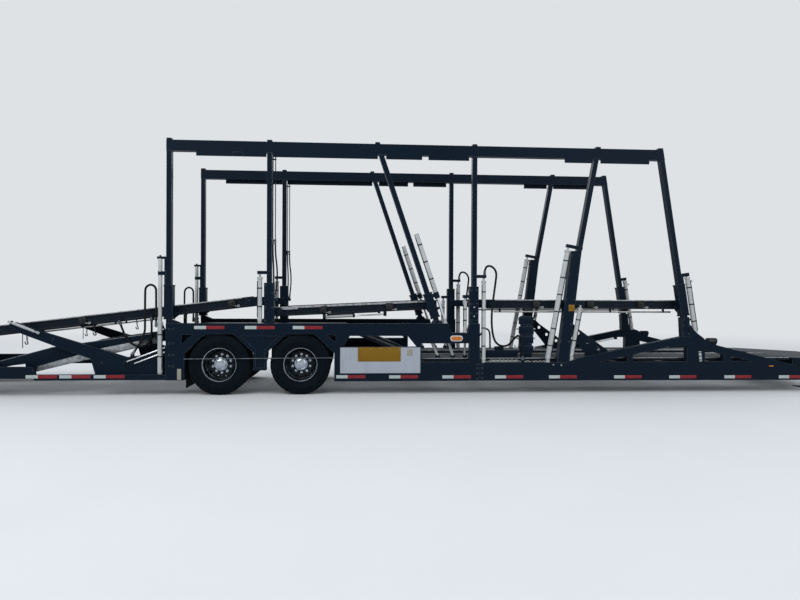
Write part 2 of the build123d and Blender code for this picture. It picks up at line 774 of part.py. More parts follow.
# Axles with their spindles, leaf springs on seats, and a brake chamber on a bracket at each end
CHAMBER_Y = 400
CHAMBER_Z = 600
CHAMBER_R = 76
CHAMBER_LENGTH = 150
CHAMBER_BACK = 85
for i, axle_x in enumerate(AXLES_X):
    with BuildPart() as axle:
        with BuildSketch(Plane(origin=(axle_x, 0, TYRE_R), x_dir=(1, 0, 0), z_dir=(0, -1, 0))):
            Circle(63.5)
        extrude(amount=650, both=True)
        with BuildSketch(Plane(origin=(axle_x, 0, TYRE_R), x_dir=(1, 0, 0), z_dir=(0, -1, 0))):
            Circle(SPINDLE_R)
        extrude(amount=1040, both=True)
        with BuildSketch(right_side(SPRING_Y - 38)):
            with BuildLine():
                ThreePointArc((axle_x - 500, 640), (axle_x, 560), (axle_x + 500, 640))
                Line((axle_x + 500, 640), (axle_x + 500, 665))
                ThreePointArc((axle_x + 500, 665), (axle_x, 600), (axle_x - 500, 665))
                Line((axle_x - 500, 665), (axle_x - 500, 640))
            make_face()
            with Locations((axle_x, 545)):
                Rectangle(120, 60)
        extrude(amount=76)
        with BuildSketch(Plane.YZ.offset(axle_x + CHAMBER_BACK)):
            with Locations((-CHAMBER_Y, CHAMBER_Z)):
                Circle(CHAMBER_R)
        extrude(amount=CHAMBER_LENGTH)
        chamber_front = axle_x + CHAMBER_BACK + CHAMBER_LENGTH
        chamfer(edges().filter_by_position(Axis.X, chamber_front - 1, chamber_front + 1), 18)
        with BuildSketch(right_side(CHAMBER_Y - 30)):
            with BuildLine():
                Polyline(
                    (axle_x - 25, 490),
                    (axle_x + CHAMBER_BACK + 20, 525),
                    (axle_x + CHAMBER_BACK + 20, 660),
                    (axle_x + CHAMBER_BACK - 15, 660),
                    close=True,
                )
            make_face()
        extrude(amount=60)
        mirror(about=Plane.XZ)
    save(axle, f"axle_{'rear' if i == 0 else 'front'}")

# Spring hangers under the sub-frame rails
with BuildPart() as hangers:
    with BuildSketch(right_side(SPRING_Y - 38)):
        for x in (AXLES_X[0] - 560, (AXLES_X[0] + AXLES_X[1]) / 2, AXLES_X[1] + 560):
            with Locations((x, 685)):
                Rectangle(90, 140)
    extrude(amount=76)
    mirror(about=Plane.XZ)
save(hangers, "spring_hangers")

# Wheels: dual tyres and dished discs, turned round the axle's line
OUTER_RIM = (
    # y, radius
    (1279, RIM_LIP_R),
    (1267, RIM_LIP_R),
    (1267, RIM_BEAD_R),
    (1063, RIM_BEAD_R),
    (1063, RIM_LIP_R),
    (1051, RIM_LIP_R),
    (1051, 264),
    (1008, 205),
    (1008, 60),
    (1031, 60),
    (1031, 195),
    (1075, 258),
    (1095, 272),
    (1279, 272),
)
HUB = (
    # y, radius
    (700, HUB_BORE_R),
    (1060, HUB_BORE_R),
    (1060, 0),
    (1165, 0),
    (1163, 50),
    (1150, 72),
    (1110, 78),
    (1110, 112),
    (986, 112),
    (986, 205),
    (700, 205),
)
# One side of a tyre's section: distance from the tyre's middle plane, radius
TYRE_SECTION = ((101, TYRE_BEAD_R), (104, 300), (117, 325), (127.5, 375), (121, 425), (106, 456), (90, TYRE_R))
HAND_HOLES = 10
HAND_HOLE_R = 19
HAND_HOLE_CIRCLE = 228
for i, axle_x in enumerate(AXLES_X):
    row = "rear" if i == 0 else "front"
    wheel_plane = Plane(origin=(axle_x, 0, TYRE_R), x_dir=(0, -1, 0), z_dir=(1, 0, 0))
    wheel_axis = Axis(origin=(axle_x, 0, TYRE_R), direction=(0, -1, 0))
    with BuildPart() as tyres:
        for y in TYRE_Y:
            with BuildSketch(wheel_plane):
                with BuildLine():
                    outer_wall = [(y + across, -radius) for across, radius in TYRE_SECTION]
                    inner_wall = [(y - across, -radius) for across, radius in reversed(TYRE_SECTION)]
                    Polyline(*outer_wall, *inner_wall, close=True)
                make_face()
            revolve(axis=wheel_axis)
    with BuildPart() as discs:
        for points in (OUTER_RIM, [(2 * MOUNT_FACE_Y - y, r) for y, r in OUTER_RIM], HUB):
            with BuildSketch(wheel_plane):
                with BuildLine():
                    Polyline(*[(y, -r) for y, r in points], close=True)
                make_face()
            revolve(axis=wheel_axis)
        with BuildSketch(right_side(2 * MOUNT_FACE_Y - 1090)):
            with Locations((axle_x, TYRE_R)):
                with PolarLocations(HAND_HOLE_CIRCLE, HAND_HOLES):
                    Circle(HAND_HOLE_R)
        extrude(amount=2 * (1090 - MOUNT_FACE_Y), mode=Mode.SUBTRACT)
    for piece, kind in ((tyres, "tyres"), (discs, "wheel_discs")):
        save(piece, f"{kind}_{row}_right")
        with BuildPart() as left_piece:
            add(mirror(piece.part, about=Plane.XZ))
        save(left_piece, f"{kind}_{row}_left")

# Nose: a cross box and the tapered coupler plate
COUPLER_BOTTOM = 420
COUPLER_TOP = 545
with BuildPart() as nose:
    with BuildSketch(Plane.XY.offset(COUPLER_BOTTOM)):
        with BuildLine():
            Polyline(
                (6520, -1170), (6890, -1170), (7450, -380), (NOSE_END, -250), (NOSE_END, 250), (7450, 380),
                (6890, 1170), (6520, 1170), close=True,
            )
        make_face()
    extrude(amount=COUPLER_TOP - COUPLER_BOTTOM)
    with BuildSketch(Plane.XZ.offset(FRAME_DEPTH - HALF_WIDTH)):
        with Locations((6800, 320)):
            Rectangle(180, 200)
    extrude(amount=2 * (HALF_WIDTH - FRAME_DEPTH))
save(nose, "nose")

# Kingpin under the coupler plate
KINGPIN_X = 7250
with BuildPart() as kingpin:
    with BuildSketch(Plane.XY.offset(COUPLER_BOTTOM - 84)):
        with Locations((KINGPIN_X, 0)):
            Circle(25.4)
    extrude(amount=84)
save(kingpin, "kingpin")

# Landing legs on sand shoes, lowered to the ground: foot, inner tube, outer tube and a brace, with a cross shaft
LEG_X = 7040
LEG_Y = 720
SHAFT_Z = 350
# half length along the trailer, half width, foot height, top height
LEG_STAGES = ((120, 130, 0, 14), (40, 40, 14, 200), (55, 55, 190, COUPLER_BOTTOM))
with BuildPart() as legs:
    for half_length, half_width, foot, top in LEG_STAGES:
        with BuildSketch(Plane.XY.offset(foot)):
            with Locations((LEG_X, -LEG_Y), (LEG_X, LEG_Y)):
                Rectangle(2 * half_length, 2 * half_width)
        extrude(amount=top - foot)
    with BuildSketch(Plane.XZ):
        with Locations((LEG_X, SHAFT_Z)):
            Circle(16)
    extrude(amount=LEG_Y, both=True)
    with BuildSketch(right_side(LEG_Y - 8)):
        with BuildLine():
            Polyline(
                (LEG_X - 50, 240),
                (LEG_X - 50, 300),
                (LEG_X - 100, COUPLER_BOTTOM),
                (LEG_X - 140, COUPLER_BOTTOM),
                close=True,
            )
        make_face()
    extrude(amount=16)
    mirror(about=Plane.XZ)
save(legs, "landing_legs")

# Air tanks on brackets at the side frames, with domed ends
TANK_Y = 1000
TANK_Z = 470
TANK_R = 110
TANK_BACK = -850
TANK_LENGTH = 700
with BuildPart() as tanks:
    with BuildSketch(Plane.YZ.offset(TANK_BACK)):
        with Locations((-TANK_Y, TANK_Z)):
            Circle(TANK_R)
    extrude(amount=TANK_LENGTH)
    fillet(edges().filter_by(GeomType.CIRCLE), 45)
    with BuildSketch(right_side(TANK_Y + TANK_R - 20)):
        with Locations((TANK_BACK + 110, TANK_Z), (TANK_BACK + TANK_LENGTH - 110, TANK_Z)):
            Rectangle(40, 80)
    extrude(amount=HALF_WIDTH - FRAME_DEPTH - TANK_Y - TANK_R + 20)
    mirror(about=Plane.XZ)
save(tanks, "air_tanks")

# Mud flaps behind the rear wheels, on hanger bars
FLAP_X = AXLES_X[0] - ARCH_HALF
with BuildPart() as flaps:
    with BuildSketch(right_side(625)):
        with Locations((FLAP_X - 20, 620)):
            RectangleRounded(40, 40, 5)
        with Locations((FLAP_X + 5, 370)):
            Rectangle(10, 540)
    extrude(amount=HALF_WIDTH - FRAME_DEPTH - 625)
    mirror(about=Plane.XZ)
save(flaps, "mud_flaps")

# White side panels over the rail
PANEL_BACK, PANEL_FRONT = -977, 280
PANEL_BOTTOM, PANEL_TOP = 332, 735
with BuildPart() as panels:
    with BuildSketch(right_side(HALF_WIDTH)):
        with Locations(((PANEL_BACK + PANEL_FRONT) / 2, (PANEL_BOTTOM + PANEL_TOP) / 2)):
            Rectangle(PANEL_FRONT - PANEL_BACK, PANEL_TOP - PANEL_BOTTOM)
    extrude(amount=4)
    mirror(about=Plane.XZ)
save(panels, "side_panels")

# Lamps: an amber marker on each side beam, an oval lamp on each chord's slope, and round lamps at the tail
LAMP_DEPTH = 18
SIDE_LAMPS = (
    # x, z, length, height
    (855, 876, 200, 92),
    (5061, 838, 150, 62),
)
TAIL_LAMPS_Y = (890, 1030, 1170)
TAIL_LAMP_R = 52
with BuildPart() as lamps:
    with BuildSketch(right_side(HALF_WIDTH)):
        for x, z, length, height in SIDE_LAMPS:
            with Locations((x, z)):
                SlotOverall(length, height)
    extrude(amount=LAMP_DEPTH)
    with BuildSketch(Plane.YZ.offset(REAR_END)):
        for y in TAIL_LAMPS_Y:
            with Locations((-y, BUMPER_Z)):
                Circle(TAIL_LAMP_R)
    extrude(amount=TAIL_LENS)
    mirror(about=Plane.XZ)
save(lamps, "marker_lamps")
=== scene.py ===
"""Finishes and fittings of the car transporter trailer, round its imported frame.

Metres. +X is the trailer's front, +Z is up, the kerb side is at -Y and z = 0 is the road.
"""
import json
from math import atan, cos, hypot, pi, radians, sin

import bmesh
import bpy
from mathutils import Matrix, Vector


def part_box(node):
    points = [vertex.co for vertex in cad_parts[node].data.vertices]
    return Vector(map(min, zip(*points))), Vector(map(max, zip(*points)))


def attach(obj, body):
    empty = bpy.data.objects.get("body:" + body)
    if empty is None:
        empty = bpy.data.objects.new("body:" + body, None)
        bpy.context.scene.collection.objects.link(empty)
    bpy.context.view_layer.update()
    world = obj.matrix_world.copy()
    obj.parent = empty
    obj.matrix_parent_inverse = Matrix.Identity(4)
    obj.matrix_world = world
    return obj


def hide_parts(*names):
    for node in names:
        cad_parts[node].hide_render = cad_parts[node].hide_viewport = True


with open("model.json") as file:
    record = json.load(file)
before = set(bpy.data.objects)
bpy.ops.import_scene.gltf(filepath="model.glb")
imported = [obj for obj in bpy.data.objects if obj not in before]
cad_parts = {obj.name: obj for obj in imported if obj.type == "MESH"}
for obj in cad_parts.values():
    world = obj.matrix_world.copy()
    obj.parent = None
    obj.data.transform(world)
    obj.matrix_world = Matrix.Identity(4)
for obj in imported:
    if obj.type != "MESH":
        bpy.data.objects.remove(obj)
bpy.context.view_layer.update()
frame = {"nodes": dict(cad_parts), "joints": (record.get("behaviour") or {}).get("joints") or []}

bl_info = {
    "name": "Car transporter trailer",
    "version": (1, 0, 0),
    "blender": (4, 5, 0),
    "location": "3D View > Sidebar > Trailer",
    "description": "Adds the finishes, wheels, tapes, lamps, hoses and fittings of a car transporter trailer",
    "category": "Object",
}

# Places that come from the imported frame
PIVOTS = {joint["child"]: Vector(joint["pos_m"]) for joint in frame["joints"] if "pos_m" in joint}
SIDE_FACE_Y = -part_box("side_frame_front_right")[0][1]
REAR_FACE_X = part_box("rear_bumper")[0][0]
AXLE_BODIES = ("wheel_rear_right", "wheel_rear_left", "wheel_front_right", "wheel_front_left")

BACKDROP = "#dfe2e5"
HOSE_DIAMETER = 0.025
SLEEVED_HOSE_DIAMETER = 0.034

# Posts on the kerb side: x under the top rail, and the run of x for each metre down
POST_TOP_Z = 3.764
POSTS = {
    "post_1": (-3.608, 0.0),
    "post_2": (-2.082, 0.0),
    "post_3": (-0.346, 0.34),
    "post_4": (1.144, 0.0),
    "post_5": (3.124, -0.185),
    "post_6": (4.22, 0.155),
}
CYLINDER_Y = -1.25
POST_FACE_Y = -1.282
FRAME_FACE_Y = -1.295

# How far the planks stand over what carries them, and the thickness of the reflective strips
PLANK_LIFT = 0.0042
TAPE_THICKNESS = 0.0012
DECK_SLOPES = {"deck_rear": 0.12, "deck_middle": 0.0477, "deck_front": 0.0, "rear_ramp": 0.195}


def beside_post(post, offset, height, square=False):
    """A point on a cylinder that stands beside a post, its offset level or square to the post."""
    x, run = POSTS[post]
    stretch = hypot(1, run)
    x += run * (POST_TOP_Z - height)
    if square:
        return Vector((x + offset / stretch, CYLINDER_Y, height + offset * run / stretch))
    return Vector((x + offset, CYLINDER_Y, height))


def along_deck(body):
    """The place of a deck: x along it from its pivot, z square to its top."""
    return Matrix.Translation(PIVOTS[body]) @ Matrix.Rotation(-atan(DECK_SLOPES[body]), 4, "Y")


# Modelling

def deselect():
    """Leaves edit mode and deselects everything."""
    if bpy.context.object and bpy.context.object.mode != "OBJECT":
        bpy.ops.object.mode_set(mode="OBJECT")
    bpy.ops.object.select_all(action="DESELECT")


def only(piece):
    """Selects one piece alone and makes it active."""
    deselect()
    piece.select_set(True)
    bpy.context.view_layer.objects.active = piece


def settle(piece):
    """Puts a piece's place, turn and size into its mesh."""
    only(piece)
    bpy.ops.object.transform_apply(location=True, rotation=True, scale=True)
    return piece


def choose(test):
    """Selects, in edit mode, the faces whose middle and normal pass a test, and counts them."""
    mesh = bmesh.from_edit_mesh(bpy.context.object.data)
    for part in (*mesh.verts, *mesh.edges, *mesh.faces):
        part.select_set(False)
    chosen = [face for face in mesh.faces if test(face.calc_center_median(), face.normal)]
    for face in chosen:
        face.select_set(True)
    bmesh.update_edit_mesh(bpy.context.object.data)
    return len(chosen)


def modify(piece, kind, **settings):
    """Adds a modifier with its settings and applies it."""
    only(piece)
    modifier = piece.modifiers.new(kind.title(), kind)
    for name, value in settings.items():
        setattr(modifier, name, value)
    bpy.ops.object.modifier_apply(modifier=modifier.name)
    return piece


def soften(piece, width, segments=2, limit=30):
    """Rounds a piece's sharp edges."""
    return modify(
        piece, "BEVEL", width=width, segments=segments, limit_method="ANGLE", angle_limit=radians(limit),
        harden_normals=False,
    )


def both_sides(piece):
    """Adds the piece's mirror image on the trailer's other side."""
    return modify(piece, "MIRROR", use_axis=(False, True, False), use_mirror_merge=False)


def join(pieces):
    """Makes several pieces one. A single piece stays as it is."""
    pieces = [pieces] if isinstance(pieces, bpy.types.Object) else list(pieces)
    if len(pieces) > 1:
        deselect()
        for piece in pieces:
            piece.select_set(True)
        bpy.context.view_layer.objects.active = pieces[0]
        bpy.ops.object.join()
    return pieces[0]


def copies(piece, moves):
    """Copies a finished shape by each move, each copy with its own mesh, and joins them."""
    made = []
    for move in moves:
        twin = piece.copy()
        twin.data = piece.data.copy()
        twin.data.transform(move if isinstance(move, Matrix) else Matrix.Translation(Vector(move)))
        bpy.context.collection.objects.link(twin)
        made.append(twin)
    bpy.data.objects.remove(piece)
    return join(made)


def dress(pieces, *finishes):
    """Makes pieces one and gives it its finishes, by their names."""
    piece = join(pieces)
    piece.data.materials.clear()
    for finish in finishes:
        piece.data.materials.append(FINISHES[finish])
    return piece


def finish_piece(piece, name, body, smooth=35):
    """Names a piece, smooths it, and lets it ride on its body."""
    only(piece)
    piece.name = name
    piece.data.name = name
    bpy.ops.object.shade_smooth_by_angle(angle=radians(smooth))
    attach(piece, body)
    return piece


def finish_pair(pieces, name, body, smooth=35):
    """Finishes the kerb side's pieces as one, with their mirror image on the other side."""
    return finish_piece(both_sides(join(pieces)), name, body, smooth)


def block(size, place, bevel=0.002, turn=(0.0, 0.0, 0.0)):
    """A bar, plate or box with rounded edges."""
    deselect()
    bpy.ops.mesh.primitive_cube_add(size=1, location=place, rotation=turn)
    piece = bpy.context.object
    piece.scale = size
    return soften(settle(piece), bevel)


def plate(outline, near, far, bevel=0.002):
    """A plate on the kerb side, from its outline in x and z and its near and far distance from the middle."""
    deselect()
    bpy.ops.mesh.primitive_circle_add(vertices=len(outline), fill_type="NGON")
    piece = bpy.context.object
    bpy.ops.object.mode_set(mode="EDIT")
    mesh = bmesh.from_edit_mesh(piece.data)
    for corner, (x, z) in zip(mesh.verts, outline):
        corner.co = (x, -near, z)
    bmesh.update_edit_mesh(piece.data)
    bpy.ops.mesh.select_all(action="SELECT")
    bpy.ops.mesh.extrude_region_move(TRANSFORM_OT_translate={"value": (0, near - far, 0)})
    bpy.ops.mesh.select_all(action="SELECT")
    bpy.ops.mesh.normals_make_consistent(inside=False)
    bpy.ops.object.mode_set(mode="OBJECT")
    return soften(piece, bevel) if bevel else piece


def bar(start, end, radius, sides=16, cap=0.0):
    """A round bar between two points, with its ends' edges rounded."""
    start, end = Vector(start), Vector(end)
    deselect()
    bpy.ops.mesh.primitive_cylinder_add(
        vertices=sides, radius=radius, depth=(end - start).length, location=(start + end) / 2,
        rotation=(end - start).to_track_quat("Z", "Y").to_euler(),
    )
    piece = settle(bpy.context.object)
    return soften(piece, cap or radius * 0.12, limit=60)


def turned(section, centre, steps):
    """A shape turned round an axle: the section gives y and the distance from the axle's line."""
    deselect()
    bpy.ops.mesh.primitive_circle_add(vertices=len(section), fill_type="NOTHING")
    piece = bpy.context.object
    bpy.ops.object.mode_set(mode="EDIT")
    mesh = bmesh.from_edit_mesh(piece.data)
    for corner, (y, radius) in zip(mesh.verts, section):
        corner.co = (centre.x, y, centre.z - radius)
    bmesh.update_edit_mesh(piece.data)
    bpy.ops.mesh.select_all(action="SELECT")
    bpy.ops.mesh.spin(steps=steps, angle=2 * pi, center=centre, axis=(0, 1, 0))
    bpy.ops.mesh.select_all(action="SELECT")
    bpy.ops.mesh.remove_doubles(threshold=0.00001)
    bpy.ops.mesh.normals_make_consistent(inside=False)
    bpy.ops.object.mode_set(mode="OBJECT")
    return piece


def mark_radius(piece, centre):
    """Keeps each point's distance from the axle's line as an attribute, which the wheels' finishes read."""
    attribute = piece.data.attributes.new("axle_distance", "FLOAT", "POINT")
    for value, corner in zip(attribute.data, piece.data.vertices):
        value.value = hypot(corner.co.x - centre.x, corner.co.z - centre.z)
    return piece


def laid_line(points, radius, sides=4):
    """A smooth round line that follows the points of a route, as a curve."""
    deselect()
    bpy.ops.curve.primitive_nurbs_path_add()
    piece = bpy.context.object
    piece.location = (0, 0, 0)
    curve = piece.data
    curve.splines.clear()
    line = curve.splines.new("NURBS")
    line.points.add(len(points) - 1)
    for knot, point in zip(line.points, points):
        knot.co = (*point, 1)
    line.order_u = 3
    line.use_endpoint_u = True
    curve.resolution_u = 8
    curve.bevel_depth = radius
    curve.bevel_resolution = sides
    curve.use_fill_caps = True
    return piece


def hose(points, radius, sides=4):
    """A pipe, wire or hook along a smooth line, as a mesh."""
    only(laid_line(points, radius, sides))
    bpy.ops.object.convert(target="MESH")
    return bpy.context.object


def on_deck(piece, body):
    """Moves a piece that was made along x from a deck's pivot to its place on the deck."""
    piece.data.transform(along_deck(body))
    return piece


def punched_plank(start, length, inner, width, pitch, radius):
    """A plank with rows of punched holes, with painted shade below them. It runs along local x, its top at z
    = 0.
    """
    rows, files = round(length / pitch), round(width / pitch)
    step, across = length / rows, width / files
    centre = Vector((start + step / 2, inner + across / 2, 0))
    deselect()
    bpy.ops.mesh.primitive_plane_add(size=1, location=centre)
    piece = bpy.context.object
    piece.scale = (step, across, 1)
    dress(settle(piece), "deck_steel", "shadowed_steel")
    bpy.ops.object.mode_set(mode="EDIT")
    bpy.ops.mesh.select_all(action="SELECT")
    bpy.ops.mesh.subdivide(number_cuts=1)
    bpy.ops.mesh.select_mode(type="VERT")
    bpy.ops.mesh.select_all(action="DESELECT")
    mesh = bmesh.from_edit_mesh(piece.data)
    middle = min(mesh.verts, key=lambda corner: (corner.co - centre).length)
    middle.select_set(True)
    bmesh.update_edit_mesh(piece.data)
    bpy.ops.mesh.bevel(offset=radius, segments=2, affect="VERTICES")
    bpy.ops.mesh.select_mode(type="FACE")
    choose(lambda place, normal: (place - centre).length < 0.001)
    bpy.ops.mesh.extrude_region_move(TRANSFORM_OT_translate={"value": (0, 0, -0.003)})
    bmesh.from_edit_mesh(piece.data).faces.active = None
    # The holes' floors take the second finish, a near-black painted shade for the dark under the deck
    for face in bmesh.from_edit_mesh(piece.data).faces:
        if face.select:
            face.material_index = 1
    bmesh.update_edit_mesh(piece.data)
    bpy.ops.object.mode_set(mode="OBJECT")
    for count, move in ((rows, (step, 0, 0)), (files, (0, across, 0))):
        modify(
            piece, "ARRAY", count=count, use_relative_offset=False, use_constant_offset=True,
            constant_offset_displace=move, use_merge_vertices=True, merge_threshold=0.0002,
        )
    # The edges are turned down 4 mm and the underside is closed
    bpy.ops.object.mode_set(mode="EDIT")
    bpy.ops.mesh.select_mode(type="EDGE")
    bpy.ops.mesh.select_all(action="DESELECT")
    bpy.ops.mesh.select_non_manifold(
        use_wire=False, use_multi_face=False, use_non_contiguous=False, use_verts=False
    )
    bpy.ops.mesh.extrude_edges_move(TRANSFORM_OT_translate={"value": (0, 0, -0.004)})
    bpy.ops.mesh.edge_face_add()
    bpy.ops.mesh.select_all(action="SELECT")
    bpy.ops.mesh.normals_make_consistent(inside=False)
    bpy.ops.object.mode_set(mode="OBJECT")
    return piece


def bolt(place, outward, across_flats=0.024, head=0.011):
    """A hexagon bolt's head on a washer, its axis outward."""
    washer = 0.003
    place, outward = Vector(place), Vector(outward)
    seat, end = place + outward * washer, place + outward * (washer + head)
    ring = bar(place, seat, across_flats * 0.78, sides=16, cap=0.001)
    return join([ring, bar(seat, end, across_flats * 0.58, sides=6, cap=0.0015)])


def chain(points, wire=0.0065, link=0.048):
    """Welded chain laid along straight runs, each link turned a quarter from the last."""
    bend = 0.0125
    places = []
    for start, end in zip(points, points[1:]):
        start, end = Vector(start), Vector(end)
        count = max(1, round((end - start).length / (link - 2 * wire)))
        turn = (end - start).to_track_quat("X", "Z").to_matrix().to_4x4()
        for i in range(count):
            middle = start.lerp(end, (i + 0.5) / count)
            roll = Matrix.Rotation(radians(90) * (len(places) % 2), 4, "X")
            places.append(Matrix.Translation(middle) @ turn @ roll)
    deselect()
    bpy.ops.mesh.primitive_torus_add(
        major_radius=bend, minor_radius=wire, major_segments=12, minor_segments=6, rotation=(0, 0, 0)
    )
    ring = bpy.context.object
    stretch = (link - 2 * bend - 2 * wire) / 2
    bpy.ops.object.mode_set(mode="EDIT")
    for way in (-1, 1):
        choose(lambda place, normal: place.x * way > 0.0004)
        bpy.ops.transform.translate(value=(way * stretch, 0, 0))
    bpy.ops.object.mode_set(mode="OBJECT")
    return copies(ring, places)


# Materials

def linear(code):
    """Turns an sRGB hex colour to linear."""
    parts = [int(code[i:i + 2], 16) / 255 for i in (1, 3, 5)]
    return [*(c / 12.92 if c <= 0.04045 else ((c + 0.055) / 1.055) ** 2.4 for c in parts), 1.0]


def feed(tree, socket, value):
    """Gives a socket a value, or a link from another socket or from the first that a node has in use."""
    if isinstance(value, bpy.types.Node):
        value = next(outlet for outlet in value.outputs if outlet.enabled)
    if isinstance(value, bpy.types.NodeSocket):
        tree.links.new(value, socket)
    else:
        socket.default_value = value


def add_node(tree, kind, inputs=None, **settings):
    """Adds a node, sets its properties, and gives its sockets, by name or number, what they are fed."""
    made = tree.nodes.new("ShaderNode" + kind)
    for name, value in settings.items():
        setattr(made, name, value)
    for name, value in (inputs or {}).items():
        feed(tree, made.inputs[name], value)
    return made


def begin_material(name):
    """Starts a material, and gives it, its nodes, its shader and the socket of the object's coordinates."""
    made = bpy.data.materials.new(name)
    made.use_nodes = True
    tree = made.node_tree
    return made, tree, tree.nodes["Principled BSDF"], add_node(tree, "TexCoord").outputs["Object"]


def set_shader(tree, shader, **inputs):
    """Feeds the shader's sockets, by names with _ for a space."""
    for name, value in inputs.items():
        feed(tree, shader.inputs[name.replace("_", " ")], value)


def seen_directly(tree):
    """1 for rays from the camera, a mirror or glass, which see the backdrop and not the studio's light."""
    path = add_node(tree, "LightPath")
    rays = ("Camera", "Glossy", "Transmission")
    camera, glossy, through = (path.outputs[f"Is {ray} Ray"] for ray in rays)
    seen = add_node(tree, "Math", {0: camera, 1: glossy}, operation="MAXIMUM")
    return add_node(tree, "Math", {0: seen, 1: through}, operation="MAXIMUM")


def edge_wear_and_highlight(tree, reach, amount):
    """How worn a point is, from how near it lies to a sharp edge. On the decks the grey along the edges is
    also a painted highlight.
    """
    rounded = add_node(tree, "Bevel", {"Radius": reach}, samples=4)
    surface = add_node(tree, "NewGeometry")
    facing = add_node(tree, "VectorMath", {0: rounded, 1: surface.outputs["Normal"]}, operation="DOT_PRODUCT")
    span = {"From Min": 0.998, "From Max": 0.86, "To Max": amount}
    return add_node(tree, "MapRange", {"Value": facing, **span})


def sprayed_enamel(name, coat, deep, worn, dust, roughness, dusting=0.5, chipping=0.6, gloss=0.16):
    """Chassis enamel sprayed over primer: satin gloss, orange peel, chips along the edges, road dust."""
    made, tree, shader, where = begin_material(name)
    # The coat's tone drifts over about 600 mm, as one panel took more paint than the next
    tone = add_node(tree, "TexNoise", {"Vector": where, "Scale": 1 / 0.6, "Detail": 3.0})
    coat_colour = add_node(tree, "Mix", {0: tone, 6: linear(coat), 7: linear(deep)}, data_type="RGBA")
    # Rain leaves runs that are about 40 mm wide and a metre long
    stretched = add_node(tree, "Mapping", {"Vector": where, "Scale": (25.0, 25.0, 1.2)})
    runs = add_node(tree, "TexNoise", {"Vector": stretched, "Scale": 1.0, "Detail": 4.0})
    # Dust lies on what faces up, and road splash reaches about 0.7 m high
    facing = add_node(tree, "SeparateXYZ", {0: where.node.outputs["Normal"]})
    height = add_node(tree, "SeparateXYZ", {0: where})
    upward = add_node(tree, "MapRange", {"Value": facing.outputs["Z"], "From Min": 0.2, "From Max": 0.9})
    splash = add_node(
        tree, "MapRange",
        {"Value": height.outputs["Z"], "From Min": 0.75, "From Max": 0.15, "To Max": 0.55},
    )
    settled = add_node(tree, "Math", {0: upward, 1: splash}, operation="MAXIMUM")
    grain = add_node(tree, "TexNoise", {"Vector": where, "Scale": 1 / 0.05, "Detail": 6.0})
    patches = add_node(tree, "Math", {0: grain, 1: runs}, operation="MULTIPLY")
    thinned = add_node(tree, "Math", {0: settled, 1: patches}, operation="MULTIPLY")
    dusty = add_node(tree, "Math", {0: thinned, 1: dusting * 3.2}, operation="MULTIPLY", use_clamp=True)
    dusted = add_node(tree, "Mix", {0: dusty, 6: coat_colour, 7: linear(dust)}, data_type="RGBA")
    # Chips about 8 mm across, thick along the edges and rare elsewhere
    flecks = add_node(tree, "TexNoise", {"Vector": where, "Scale": 1 / 0.02, "Detail": 5.0})
    edge = edge_wear_and_highlight(tree, 0.007, chipping)
    exposed = add_node(tree, "Math", {0: flecks, 1: edge}, operation="ADD")
    chips = add_node(tree, "MapRange", {"Value": exposed, "From Min": 0.76, "From Max": 0.86})
    colour = add_node(tree, "Mix", {0: chips, 6: dusted, 7: linear(worn)}, data_type="RGBA")
    dulled = add_node(tree, "MapRange", {"Value": dusty, "To Min": roughness, "To Max": 0.85})
    # Orange peel is 3 mm across on the real coat and drawn at 9 mm, so that it shows
    peel = add_node(tree, "TexNoise", {"Vector": where, "Scale": 1 / 0.009, "Detail": 1.0})
    relief = add_node(tree, "Math", {0: peel, 1: chips}, operation="SUBTRACT")
    bump = add_node(tree, "Bump", {"Height": relief, "Strength": 0.25, "Distance": 0.0006})
    set_shader(tree, shader, Base_Color=colour, Roughness=dulled, Normal=bump, Specular_IOR_Level=gloss)
    return made


